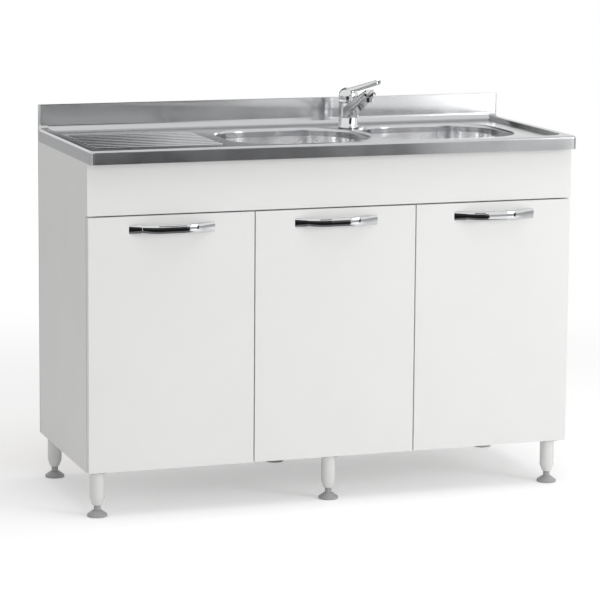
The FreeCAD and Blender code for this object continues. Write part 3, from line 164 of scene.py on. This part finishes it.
floor_corners = level_corners(-FLOOR_REACH, -FLOOR_REACH, FLOOR_REACH, FLOOR_REACH, 0)
studio_sheet("studio_floor", floor_corners, floor_paper)

FLAG_FRONT = -3.0
FLAG_REAR = 2.0
FLAGS = {
    "flag_front_low": ("#1c1c1d", upright_corners(-3.2, FLAG_FRONT, 1.4, FLAG_FRONT, 0.0, 0.36)),
    "flag_front_high": ("#3a3a3b", upright_corners(-3.2, FLAG_FRONT, 0.86, FLAG_FRONT, 0.36, 0.74)),
    "flag_front_upper": ("#1c1c1d", upright_corners(-0.6, FLAG_FRONT, 0.9, FLAG_FRONT, 1.0, 1.9)),
    "flag_front_half": ("#626263", upright_corners(0.86, FLAG_FRONT, 1.3, FLAG_FRONT, 0.36, 0.74)),
    "flag_floor": ("#747475", level_corners(-3.2, FLAG_FRONT, 1.2, -1.6, 0.002)),
    "flag_rear_left": ("#18181a", upright_corners(-0.5, FLAG_REAR, 0.35, FLAG_REAR, 0.9, 5.0)),
    "flag_rear_right": ("#18181a", upright_corners(0.35, FLAG_REAR, 0.8, FLAG_REAR, 0.9, 1.9)),
    "flag_right": ("#202021", upright_corners(3.0, -2.75, 3.0, -2.3, 0.0, 1.3)),
}
for name, (shade, corners) in FLAGS.items():
    cloth, tree = empty_material(f"{name} cloth")
    glow = add_node(tree, "ShaderNodeEmission", {"Color": linear(shade)})
    add_node(tree, "ShaderNodeOutputMaterial", links={"Surface": glow.outputs[0]})
    flag = studio_sheet(name, corners, cloth)
    flag.visible_camera = False
    flag.visible_diffuse = False
    flag.visible_shadow = False

# Each lamp: its place, its size, its power in watts, and whether metal mirrors it.
LAMP_AIM = Vector((0, 0, 0.45))
LAMPS = {
    "lamp_above": ((0.3, -0.5, 3.2), 3.0, 40, False),
    "lamp_key": ((3.0, -3.4, 1.5), 1.6, 57, True),
    "lamp_fill": ((-1.6, -5.0, 0.7), 2.2, 21, False),
}
for name, (spot, size, watts, mirrored) in LAMPS.items():
    lamp = bpy.data.objects.new(name, bpy.data.lights.new(name, "AREA"))
    lamp.data.size = size
    lamp.data.energy = watts
    lamp.location = spot
    lamp.rotation_euler = (LAMP_AIM - Vector(spot)).to_track_quat("-Z", "Y").to_euler()
    lamp.visible_glossy = mirrored
    bpy.context.collection.objects.link(lamp)


# ---- Cabinet boards ----------------------------------------------------------------------
# Chipboard 18 mm thick, faced and edged with white melamine paper, sawn square and joined by
# dowels: two sides, a floor, two rails, a partition, a shelf, and the fascia over the doors.
MM = 0.001
nodes = frame["nodes"]
body_of = {node: body for body, members in frame["record"]["behaviour"]["bodies"].items()
           for node in members}


def start_material(name):
    """An empty material: itself, its tree, its shader and the object's own coordinates."""
    material, tree = empty_material(name)
    shader = add_node(tree, "ShaderNodeBsdfPrincipled")
    add_node(tree, "ShaderNodeOutputMaterial", links={"Surface": shader.outputs[0]})
    place = add_node(tree, "ShaderNodeTexCoord").outputs["Object"]
    return material, tree, shader, place


def noise(tree, place, grain_mm, detail=2.0):
    """Soft noise whose lumps are about grain_mm across."""
    return add_node(tree, "ShaderNodeTexNoise", {"Scale": 1 / (grain_mm * MM), "Detail": detail},
                    {"Vector": place}).outputs[0]


def colour_between(tree, shader, pattern, one, other):
    tint = add_node(tree, "ShaderNodeMix", {6: linear(one), 7: linear(other)}, {0: pattern},
                    data_type="RGBA")
    tree.links.new(tint.outputs[2], shader.inputs["Base Color"])


# Nearly all of the noise lies between these two values.
NOISE_LOW = 0.3
NOISE_HIGH = 0.7


def roughness_between(tree, shader, pattern, one, other):
    dull = add_node(tree, "ShaderNodeMapRange",
                    {"From Min": NOISE_LOW, "From Max": NOISE_HIGH, "To Min": one, "To Max": other},
                    {"Value": pattern})
    tree.links.new(dull.outputs[0], shader.inputs["Roughness"])


def bumped(tree, shader, pattern, depth_mm, strength=1.0):
    bump = add_node(tree, "ShaderNodeBump", {"Strength": strength, "Distance": depth_mm * MM},
                    {"Height": pattern})
    tree.links.new(bump.outputs[0], shader.inputs["Normal"])


def add_piece(name, mesh, material, body):
    """A finished piece in its place, riding with its body and taking its slot."""
    mesh.materials.clear()
    mesh.materials.append(material)
    piece = bpy.data.objects.new(name, mesh)
    bpy.context.collection.objects.link(piece)
    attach(piece, body)
    return piece


def stand_in(name, mesh, node, material):
    """A finished piece that is seen instead of its node."""
    piece = add_piece(name, mesh, material, body_of[node])
    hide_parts(node)
    return piece


# Corners closer than MERGE_MM become one, and so do faces that meet at less than FLAT_ANGLE. Edges
# stay sharp above SHARP_ANGLE, and a bevel eases those above EASED_ANGLE.
MERGE_MM = 0.01
FLAT_ANGLE = math.radians(0.5)
SHARP_ANGLE = math.radians(35)
EASED_ANGLE = math.radians(40)


def merged_form(node):
    """An editable copy of a node with its triangles joined."""
    form = bmesh.new()
    form.from_mesh(nodes[node].data)
    bmesh.ops.remove_doubles(form, verts=form.verts, dist=MERGE_MM * MM)
    return form


def dressed(node, material, edge_mm=0.0, flat=False):
    """A node's own form with shading that follows its curves, and its edges eased by a bevel."""
    form = merged_form(node)
    if flat:
        bmesh.ops.dissolve_limit(form, angle_limit=FLAT_ANGLE, verts=form.verts, edges=form.edges)
    mesh = bpy.data.meshes.new(f"{node}_dressed")
    form.to_mesh(mesh)
    form.free()
    mesh.shade_smooth()
    mesh.set_sharp_from_angle(angle=SHARP_ANGLE)
    piece = stand_in(f"{node}_dressed", mesh, node, material)
    if edge_mm:
        bevel = piece.modifiers.new("eased edges", "BEVEL")
        bevel.width = edge_mm * MM
        bevel.segments = 3
        bevel.angle_limit = EASED_ANGLE
        bevel.harden_normals = True
    else:
        piece.modifiers.new("even shading", "WEIGHTED_NORMAL").keep_sharp = True
    return piece


# Melamine paper pressed on the board: an even white, a faint orange peel and a satin gloss.
melamine, tree, shader, place = start_material("white melamine faced board")
clouds = noise(tree, place, 140, 3)
colour_between(tree, shader, clouds, "#efefee", "#e9e9e8")
roughness_between(tree, shader, clouds, 0.34, 0.42)
bumped(tree, shader, noise(tree, place, 2.2), 0.1, 0.06)

BOARD_EDGE_MM = 0.5
for board in ("side_panel_left", "side_panel_right", "bottom_panel", "front_rail", "rear_rail",
              "fascia_panel", "partition_panel", "shelf"):
    dressed(board, melamine, BOARD_EDGE_MM, flat=True)

# ---- Back panel --------------------------------------------------------------------------
# Hardboard 3 mm thick, nailed over the back edges of the boards, with an opening for the pipes.
# Pressed wood fibre: a mottled warm brown, matt, with a fine screen-like roughness.
hardboard, tree, shader, place = start_material("brown hardboard")
fibre = noise(tree, place, 6, 8)
colour_between(tree, shader, fibre, "#7a6148", "#94795a")
roughness_between(tree, shader, fibre, 0.7, 0.82)
bumped(tree, shader, noise(tree, place, 1.6, 4), 0.2, 0.4)
dressed("back_panel", hardboard, 0.3, flat=True)


# ---- Shelf pins and screws ---------------------------------------------------------------
# Turned shelf pins and pan-head screws of zinc-plated steel. The screws hold the hinge plates,
# the hinge cups, the plates of the legs and the clips of the sink top.
def start_tree(name, **inputs):
    """A tree of geometry nodes with named inputs; gives the tree and its input sockets."""
    tree = bpy.data.node_groups.new(name, "GeometryNodeTree")
    tree.interface.new_socket("Geometry", in_out="OUTPUT", socket_type="NodeSocketGeometry")
    tree.interface.new_socket("Geometry", in_out="INPUT", socket_type="NodeSocketGeometry")
    for label, kind in inputs.items():
        tree.interface.new_socket(label, in_out="INPUT", socket_type=f"NodeSocket{kind}")
    return tree, add_node(tree, "NodeGroupInput").outputs


def end_tree(tree, geometry, material):
    """Closes a tree: instances made real, smooth shading, and the material."""
    real = add_node(tree, "GeometryNodeRealizeInstances", links={0: geometry})
    soft = add_node(tree, "GeometryNodeSetShadeSmooth", links={0: real.outputs[0]})
    painted = add_node(tree, "GeometryNodeSetMaterial",
                       links={"Geometry": soft.outputs[0], "Material": material})
    add_node(tree, "NodeGroupOutput", links={0: painted.outputs[0]})


def set_on_points(tree, points, instance):
    """Copies a shape to each point, its Z axis along the point's facing."""
    facing = add_node(tree, "GeometryNodeInputNamedAttribute", {"Name": "facing"}, data_type="FLOAT_VECTOR")
    aligned = add_node(tree, "FunctionNodeAlignRotationToVector", links={"Vector": facing.outputs[0]},
                       axis="Z")
    copies = add_node(tree, "GeometryNodeInstanceOnPoints",
                      links={"Points": points, "Instance": instance, "Rotation": aligned.outputs[0]})
    return copies.outputs[0]


def marks(name, spots):
    """Points with the direction that each one faces."""
    mesh = bpy.data.meshes.new(name)
    mesh.from_pydata([spot for spot, _ in spots], [], [])
    facing = mesh.attributes.new("facing", "FLOAT_VECTOR", "POINT")
    for number, (_, direction) in enumerate(spots):
        facing.data[number].vector = direction
    return mesh


def grown(name, tree, mesh, **sizes):
    """The plain mesh that a tree makes from a mesh of points or lines."""
    host = bpy.data.objects.new(name, mesh)
    bpy.context.collection.objects.link(host)
    modifier = host.modifiers.new(name, "NODES")
    modifier.node_group = tree
    for item in tree.interface.items_tree:
        if item.in_out == "INPUT" and item.name in sizes:
            modifier[item.identifier] = sizes[item.name]
    depsgraph = bpy.context.evaluated_depsgraph_get()
    result = bpy.data.meshes.new_from_object(host.evaluated_get(depsgraph), depsgraph=depsgraph)
    result.name = name
    bpy.data.objects.remove(host)
    return result


def islands(node):
    """The lowest and highest corner of each separate solid of a node."""
    form = merged_form(node)
    boxes = []
    waiting = set(form.verts)
    while waiting:
        group = [waiting.pop()]
        for vert in group:
            for edge in vert.link_edges:
                other = edge.other_vert(vert)
                if other in waiting:
                    waiting.remove(other)
                    group.append(other)
        low = Vector([min(vert.co[axis] for vert in group) for axis in range(3)])
        high = Vector([max(vert.co[axis] for vert in group) for axis in range(3)])
        boxes.append((low, high))
    form.free()
    return sorted(boxes, key=lambda box: tuple(box[0]))


# Bright zinc plate: a cool mid grey with a fine uneven haze from the plating bath.
zinc, tree, shader, place = start_material("zinc plated steel")
haze = noise(tree, place, 4, 4)
colour_between(tree, shader, haze, "#a6a8ab", "#bcbec1")
roughness_between(tree, shader, haze, 0.26, 0.38)
shader.inputs["Metallic"].default_value = 1.0
dressed("shelf_pins", zinc, 0.2)
dressed("sink_clips", zinc, 0.2)

SCREW_RADIUS = 3.2 * MM
SCREW_RISE = 1.4 * MM
CROSS_LONG = 3.6 * MM
CROSS_WIDE = 0.9 * MM
CROWN_SHARE = 0.7
HEAD_SIDES = 20
SCREW_SHARP_ANGLE = math.radians(30)
screw_tree, given = start_tree("pan_head_screw", Radius="Float", Rise="Float", Cross="Float", Slot="Float",
                               Material="Material")
crown = add_node(screw_tree, "ShaderNodeMath", {1: CROWN_SHARE}, {0: given["Radius"]}, operation="MULTIPLY")
head = add_node(screw_tree, "GeometryNodeMeshCone", {"Vertices": HEAD_SIDES},
                {"Radius Top": crown.outputs[0], "Radius Bottom": given["Radius"], "Depth": given["Rise"]})
joined = add_node(screw_tree, "GeometryNodeJoinGeometry")
for along, across in (("Cross", "Slot"), ("Slot", "Cross")):
    size = add_node(screw_tree, "ShaderNodeCombineXYZ",
                    links={0: given[along], 1: given[across], 2: given["Rise"]})
    bar = add_node(screw_tree, "GeometryNodeMeshCube", links={"Size": size.outputs[0]})
    screw_tree.links.new(bar.outputs[0], joined.inputs[0])
above = add_node(screw_tree, "ShaderNodeCombineXYZ", links={2: given["Rise"]})
raised = add_node(screw_tree, "GeometryNodeTransform",
                  links={"Geometry": joined.outputs[0], "Translation": above.outputs[0]})
cut = add_node(screw_tree, "GeometryNodeMeshBoolean", {"Self Intersection": True},
               {"Mesh 1": head.outputs[0], "Mesh 2": raised.outputs[0]},
               operation="DIFFERENCE", solver="EXACT")
placed = set_on_points(screw_tree, given["Geometry"], cut.outputs[0])
end_tree(screw_tree, placed, given["Material"])


def add_screws(name, spots, body):
    """Screw heads on their seats, each spot with the direction that it faces."""
    mesh = grown(name, screw_tree, marks(f"{name}_spots", spots), Radius=SCREW_RADIUS, Rise=SCREW_RISE,
                 Cross=CROSS_LONG, Slot=CROSS_WIDE, Material=zinc)
    mesh.set_sharp_from_angle(angle=SCREW_SHARP_ANGLE)
    return add_piece(name, mesh, zinc, body)


CLIP_SCREW_MM = 10
clip_screws = []
for low, high in islands("sink_clips"):
    inward = Vector((-1 if low.x > 0 else 1, 0, 0))
    face = low.x if low.x > 0 else high.x
    clip_screws.append(((face, (low.y + high.y) / 2, low.z + CLIP_SCREW_MM * MM), inward))
add_screws("clip_screws", clip_screws, "cabinet")

# ---- Sink top ----------------------------------------------------------------------------
# Stainless steel sheet 0.8 mm thick, pressed in one piece with its rolled rim, ribbed drainer
# and upstand, then brushed along its length. It lies on the cabinet and clips hold it.
def stretched_noise(tree, place, long_mm, wide_mm, detail):
    """Noise drawn out along X."""
    run = add_node(tree, "ShaderNodeMapping",
                   {"Scale": (1 / (long_mm * MM), 1 / (wide_mm * MM), 1 / (wide_mm * MM))}, {"Vector": place})
    return add_node(tree, "ShaderNodeTexNoise", {"Scale": 1.0, "Detail": detail, "Roughness": 0.6},
                    {"Vector": run.outputs[0]}).outputs[0]


# Brushed finish: fine scratches along X, far finer than drawn here, smear every reflection across
# them. The grain direction is a hair off X, so that the side faces have one too.
GRAIN_LONG_MM = 70
GRAIN_WIDE_MM = 0.8
GRAIN_DIRECTION = (1, 0.02, 0.01)
top_steel, tree, shader, place = start_material("brushed stainless steel")
grain = stretched_noise(tree, place, GRAIN_LONG_MM, GRAIN_WIDE_MM, 4)
colour_between(tree, shader, grain, "#bebfc1", "#d0d1d2")
roughness_between(tree, shader, noise(tree, place, 110), 0.15, 0.21)
bumped(tree, shader, grain, 0.02, 0.3)
surface = add_node(tree, "ShaderNodeNewGeometry")
across = add_node(tree, "ShaderNodeVectorMath", {1: GRAIN_DIRECTION}, {0: surface.outputs["Normal"]},
                  operation="CROSS_PRODUCT")
tree.links.new(across.outputs[0], shader.inputs["Tangent"])
shader.inputs["Metallic"].default_value = 1.0
shader.inputs["Anisotropic"].default_value = 0.6
dressed("sink_top", top_steel)

# ---- Bowls -------------------------------------------------------------------------------
# Each bowl is deep-drawn from 0.8 mm stainless steel and welded under its opening in the top.
# Polished after drawing: smoother than the top, with soft cloudy patches and no grain. Its colour is
# painted far lighter than the top's steel: painted brightness for the light that the bowls catch.
lightened_bowl_steel, tree, shader, place = start_material("drawn stainless steel")
clouds = noise(tree, place, 35, 3)
# Painted brightness: this steel colour is set far lighter than the top's steel, standing in for the light the
# bowls catch.
colour_between(tree, shader, clouds, "#e9e9ea", "#f1f1f2")
roughness_between(tree, shader, clouds, 0.13, 0.2)
bumped(tree, shader, noise(tree, place, 1.1, 3), 0.02, 0.15)
shader.inputs["Metallic"].default_value = 1.0
for side in ("left", "right"):
    dressed(f"bowl_{side}", lightened_bowl_steel)

# ---- Wastes and strainers ----------------------------------------------------------------
# A white polypropylene cup hangs in each bowl floor by its steel flange, over a rubber ring, and
# a ring nut with grip ribs draws it tight. A pressed steel basket stands in each cup.
# Polypropylene from the mould: an off-white that is a little see-through, satin and very smooth.
pipe_white, tree, shader, place = start_material("white polypropylene")
clouds = noise(tree, place, 40)
colour_between(tree, shader, clouds, "#e4e4de", "#dadad2")
roughness_between(tree, shader, clouds, 0.36, 0.46)
bumped(tree, shader, noise(tree, place, 0.8), 0.1, 0.08)

# EPDM rubber: nearly black and matt, with a fine dusty grain.
rubber, tree, shader, place = start_material("black EPDM rubber")
grain = noise(tree, place, 0.6, 4)
colour_between(tree, shader, grain, "#1b1b1c", "#29292a")
roughness_between(tree, shader, grain, 0.62, 0.78)
bumped(tree, shader, grain, 0.05, 0.4)

RIB_SIDES = 10
GRIP_SHARP_ANGLE = math.radians(45)
grip_tree, given = start_tree("grip_ribs", Radius="Float", Count="Int", Width="Float", Height="Float",
                              Material="Material")
ring = add_node(grip_tree, "GeometryNodeMeshCircle",
                links={"Vertices": given["Count"], "Radius": given["Radius"]})
half = add_node(grip_tree, "ShaderNodeMath", {1: 0.5}, {0: given["Width"]}, operation="MULTIPLY")
rib = add_node(grip_tree, "GeometryNodeMeshCylinder", {"Vertices": RIB_SIDES},
               {"Radius": half.outputs[0], "Depth": given["Height"]})
around = add_node(grip_tree, "GeometryNodeInstanceOnPoints",
                  links={"Points": ring.outputs[0], "Instance": rib.outputs[0]})
placed = set_on_points(grip_tree, given["Geometry"], around.outputs[0])
end_tree(grip_tree, placed, given["Material"])


def add_grips(name, spots, radius, count, width_mm, height):
    """Grip ribs round each nut: half of each rib stands proud of the nut's wall."""
    mesh = grown(name, grip_tree, marks(f"{name}_spots", spots), Radius=radius, Count=count,
                 Width=width_mm * MM, Height=height, Material=pipe_white)
    mesh.set_sharp_from_angle(angle=GRIP_SHARP_ANGLE)
    return add_piece(name, mesh, pipe_white, "cabinet")


FLANGE_MM = 2
for side in ("left", "right"):
    waste = dressed(f"waste_{side}", pipe_white, 0.4)
    waste.data.materials.append(lightened_bowl_steel)
    flange_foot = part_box(f"waste_{side}")[1].z - FLANGE_MM * MM
    for face in waste.data.polygons:
        face.material_index = int(face.center.z > flange_foot)
    dressed(f"basket_{side}", lightened_bowl_steel, 0.3)
dressed("waste_gaskets", rubber, 0.2)
dressed("waste_nuts", pipe_white, 0.5)
NUT_RIBS = 28
NUT_RIB_MM = 3.0
NUT_RIB_SHARE = 0.8
nut_spots = [((low + high) / 2, (0, 0, 1)) for low, high in islands("waste_nuts")]
nut_low, nut_high = islands("waste_nuts")[0]
add_grips("waste_nut_ribs", nut_spots, (nut_high.x - nut_low.x) / 2, NUT_RIBS, NUT_RIB_MM,
          (nut_high.z - nut_low.z) * NUT_RIB_SHARE)

# ---- Waste pipes and bottle trap ---------------------------------------------------------
# Moulded polypropylene: a bent pipe joins both wastes, its tee drops into the bottle trap, and
# the outlet pipe runs to the wall. Four coupling nuts and the trap's cup are tightened by hand.
for node in ("cross_pipe", "trap_body", "trap_cup", "outlet_pipe", "pipe_nuts"):
    dressed(node, pipe_white, 0.5)
COUPLING_RIBS = 18
COUPLING_RIB_MM = 2.6
COUPLING_RIB_SHARE = 0.82
coupling_spots = []
for low, high in islands("pipe_nuts"):
    size = high - low
    facing = (0, 0, 1) if size.z < size.y else (0, 1, 0)
    coupling_spots.append(((low + high) / 2, facing))
    coupling_radius = size.x / 2
    coupling_height = min(size.y, size.z)
add_grips("coupling_ribs", coupling_spots, coupling_radius, COUPLING_RIBS, COUPLING_RIB_MM,
          coupling_height * COUPLING_RIB_SHARE)
CUP_RIBS = 24
CUP_COLLAR_MM = 16
CUP_RIB_SHARE = 0.8
cup_low, cup_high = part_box("trap_cup")
collar_middle = (cup_low + cup_high) / 2
collar_middle.z = cup_high.z - CUP_COLLAR_MM / 2 * MM
add_grips("trap_cup_ribs", [(collar_middle, (0, 0, 1))], (cup_high.x - cup_low.x) / 2, CUP_RIBS,
          COUPLING_RIB_MM, CUP_COLLAR_MM * CUP_RIB_SHARE * MM)

# ---- Mixer tap ---------------------------------------------------------------------------
# Brass castings, ground, polished and chrome plated. The body stands on a rubber ring and its
# threaded shank is clamped under the deck by a zinc-plated plate and a bare brass nut.
# Polished chrome: a hard cool mirror with the faintest haze.
chrome, tree, shader, place = start_material("polished chrome plate")
haze = noise(tree, place, 12, 3)
colour_between(tree, shader, haze, "#d6d7d8", "#dddedf")
roughness_between(tree, shader, haze, 0.03, 0.07)
bumped(tree, shader, noise(tree, place, 9, 1), 0.02, 0.1)
shader.inputs["Metallic"].default_value = 1.0
for node in ("tap_body", "tap_collar", "spout", "aerator", "lever"):
    dressed(node, chrome, 0.6)

# Turned brass: warm yellow, slightly tarnished in patches, with a soft machined shine.
brass, tree, shader, place = start_material("turned brass")
tarnish = noise(tree, place, 3, 3)
colour_between(tree, shader, tarnish, "#b89448", "#c9a95c")
roughness_between(tree, shader, tarnish, 0.22, 0.36)
shader.inputs["Metallic"].default_value = 1.0
dressed("tap_nut", brass, 0.3)
dressed("tap_clamp", zinc, 0.2)
dressed("lever_spindle", zinc, 0.3)
dressed("tap_seal", rubber, 0.2)

# ---- Doors -------------------------------------------------------------------------------
# The same faced board as the cabinet, bored at the back for the hinge cups and drilled for the
# handle screws.
for side in ("left", "middle", "right"):
    dressed(f"door_{side}", melamine, 0.8, flat=True)

# ---- Bow handles -------------------------------------------------------------------------
# Zinc die castings, chrome plated: a bar with a crowned face that bows out from the door and
# comes back to it at both ends, held from behind by two screws.
BAR_THICKNESS = 9 * MM
BAR_FOOT = 20 * MM
BAR_SLOPE = 40 * MM
BAR_BEND = 100 * MM
BAR_CROWN = 42 * MM
BAR_EDGE = 3.2 * MM
BAR_BEYOND = 10 * MM
CROWN_FALL = 0.5
BEND_STEPS = 14
EDGE_STEPS = 5
PROFILE_CUTS = 5
BAR_SHARP_ANGLE = math.radians(40)
bow_tree, given = start_tree("bow_handle", Thickness="Float", Height="Float", Bend="Float", Crown="Float",
                             Edge="Float", Material="Material")
# The route's two corners are rounded, and the bar's section keeps upright along it.
line = add_node(bow_tree, "GeometryNodeMeshToCurve", links={0: given["Geometry"]})
bent = add_node(bow_tree, "GeometryNodeFilletCurve", {"Count": BEND_STEPS, "Limit Radius": True},
                {"Curve": line.outputs[0], "Radius": given["Bend"]}, mode="POLY")
upright = add_node(bow_tree, "GeometryNodeSetCurveNormal", links={0: bent.outputs[0]}, mode="Z_UP")
plate = add_node(bow_tree, "GeometryNodeCurvePrimitiveQuadrilateral",
                 links={"Width": given["Thickness"], "Height": given["Height"]})
eased = add_node(bow_tree, "GeometryNodeFilletCurve", {"Count": EDGE_STEPS, "Limit Radius": True},
                 {"Curve": plate.outputs[0], "Radius": given["Edge"]}, mode="POLY")
dense = add_node(bow_tree, "GeometryNodeSubdivideCurve", {"Cuts": PROFILE_CUTS}, {0: eased.outputs[0]})

# One side of the section sinks with the square of the distance from its middle: the crowned face.
place = add_node(bow_tree, "GeometryNodeInputPosition").outputs[0]
point = add_node(bow_tree, "ShaderNodeSeparateXYZ", links={0: place})
square = add_node(bow_tree, "ShaderNodeMath", links={0: point.outputs[1], 1: point.outputs[1]},
                  operation="MULTIPLY")
sag = add_node(bow_tree, "ShaderNodeMath", links={0: square.outputs[0], 1: given["Crown"]},
               operation="DIVIDE")
share = add_node(bow_tree, "ShaderNodeMapRange", {"To Min": 0.0, "To Max": -CROWN_FALL},
                 {"Value": point.outputs[0], "From Max": given["Thickness"]})
fall = add_node(bow_tree, "ShaderNodeMath", links={0: sag.outputs[0], 1: share.outputs[0]},
                operation="MULTIPLY")
lean = add_node(bow_tree, "ShaderNodeCombineXYZ", links={0: fall.outputs[0]})
crowned = add_node(bow_tree, "GeometryNodeSetPosition",
                   links={"Geometry": dense.outputs[0], "Offset": lean.outputs[0]})
bar = add_node(bow_tree, "GeometryNodeCurveToMesh", {"Fill Caps": True},
               {"Curve": upright.outputs[0], "Profile Curve": crowned.outputs[0]})

# The ends run on past the door's face, and what lies beyond it is pressed flat on it.
place = add_node(bow_tree, "GeometryNodeInputPosition").outputs[0]
bar_point = add_node(bow_tree, "ShaderNodeSeparateXYZ", links={0: place})
at_door = add_node(bow_tree, "ShaderNodeMath", {1: 0.0}, {0: bar_point.outputs[1]}, operation="MINIMUM")
seated_point = add_node(bow_tree, "ShaderNodeCombineXYZ",
                        links={0: bar_point.outputs[0], 1: at_door.outputs[0], 2: bar_point.outputs[2]})
seated = add_node(bow_tree, "GeometryNodeSetPosition",
                  links={"Geometry": bar.outputs[0], "Position": seated_point.outputs[0]})
merged = add_node(bow_tree, "GeometryNodeMergeByDistance", {"Distance": 2 * MERGE_MM * MM},
                  {0: seated.outputs[0]})
end_tree(bow_tree, merged.outputs[0], given["Material"])

low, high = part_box("handle_left")
bar_length = high.x - low.x
bar_reach = high.y - low.y - BAR_THICKNESS / 2
foot_x = (bar_length - BAR_FOOT) / 2
flat_x = bar_length / 2 - BAR_SLOPE - BAR_THICKNESS / 2
end_x = foot_x + BAR_BEYOND * (foot_x - flat_x) / bar_reach
route = bpy.data.meshes.new("bow_route")
left_half = [(-end_x, BAR_BEYOND, 0), (-flat_x, -bar_reach, 0)]
right_half = [(flat_x, -bar_reach, 0), (end_x, BAR_BEYOND, 0)]
route.from_pydata(left_half + right_half, [(0, 1), (1, 2), (2, 3)], [])
bow = grown("bow_handle", bow_tree, route, Thickness=BAR_THICKNESS, Height=high.z - low.z, Bend=BAR_BEND,
            Crown=BAR_CROWN, Edge=BAR_EDGE, Material=chrome)
bow.set_sharp_from_angle(angle=BAR_SHARP_ANGLE)
for side in ("left", "middle", "right"):
    low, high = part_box(f"handle_{side}")
    mesh = bow.copy()
    mesh.transform(Matrix.Translation(((low.x + high.x) / 2, high.y, (low.z + high.z) / 2)))
    stand_in(f"bow_handle_{side}", mesh, f"handle_{side}", chrome)
    dressed(f"handle_screws_{side}", zinc, 0.2)

# ---- Concealed hinges --------------------------------------------------------------------
# Two to a door: a pressed cup let into the door, a bowed link, and a folded arm on a mounting
# plate that is screwed to the panel. All are zinc-plated steel.
CUP_SCREW_MM = 21
PLATE_SCREW_MM = 17
for side in ("left", "middle", "right"):
    dressed(f"hinge_cups_{side}", zinc, 0.2)
    dressed(f"hinge_links_{side}", zinc, 0.2)
    spots = [(((low.x + high.x) / 2, high.y, (low.z + high.z) / 2 + way * CUP_SCREW_MM * MM), (0, 1, 0))
             for low, high in islands(f"hinge_cups_{side}") for way in (-1, 1)]
    add_screws(f"hinge_cup_screws_{side}", spots, f"door_{side}")
dressed("hinge_arms", zinc, 0.2)
dressed("hinge_plates", zinc, 0.2)
plate_screws = []
for low, high in islands("hinge_plates"):
    face, inward = (high.x, 1) if low.x < 0 else (low.x, -1)
    for way in (-1, 1):
        height = (low.z + high.z) / 2 + way * PLATE_SCREW_MM * MM
        plate_screws.append(((face, (low.y + high.y) / 2, height), (inward, 0, 0)))
add_screws("hinge_plate_screws", plate_screws, "cabinet")

# ---- Legs --------------------------------------------------------------------------------
# Six adjustable legs: a tube moulded with its square plate, screwed under the cabinet, and a
# foot whose stem turns in the tube.
# ABS from a polished mould: clean white and glossy, with the slight unevenness of a moulding.
leg_white, tree, shader, place = start_material("glossy white ABS")
clouds = noise(tree, place, 30)
colour_between(tree, shader, clouds, "#eeeeed", "#e4e4e3")
roughness_between(tree, shader, clouds, 0.14, 0.22)
bumped(tree, shader, noise(tree, place, 5), 0.02, 0.3)
dressed("leg_tubes", leg_white, 0.5)

# Polyethylene: a waxy light grey with a fine moulded grain.
foot_grey, tree, shader, place = start_material("grey polyethylene")
grain = noise(tree, place, 1.5, 3)
colour_between(tree, shader, grain, "#b4b4b4", "#a2a2a2")
roughness_between(tree, shader, grain, 0.38, 0.5)
bumped(tree, shader, grain, 0.1, 0.1)
dressed("leg_plates", foot_grey, 0.4, flat=True)
for row in ("front", "rear"):
    for column in ("left", "middle", "right"):
        dressed(f"foot_{row}_{column}", foot_grey, 0.4)
PLATE_CORNER_MM = 15.5
leg_screws = []
for low, high in islands("leg_plates"):
    middle = (low + high) / 2
    for across in (-PLATE_CORNER_MM, PLATE_CORNER_MM):
        for along in (-PLATE_CORNER_MM, PLATE_CORNER_MM):
            leg_screws.append(((middle.x + across * MM, middle.y + along * MM, low.z), (0, 0, -1)))
add_screws("leg_plate_screws", leg_screws, "cabinet")
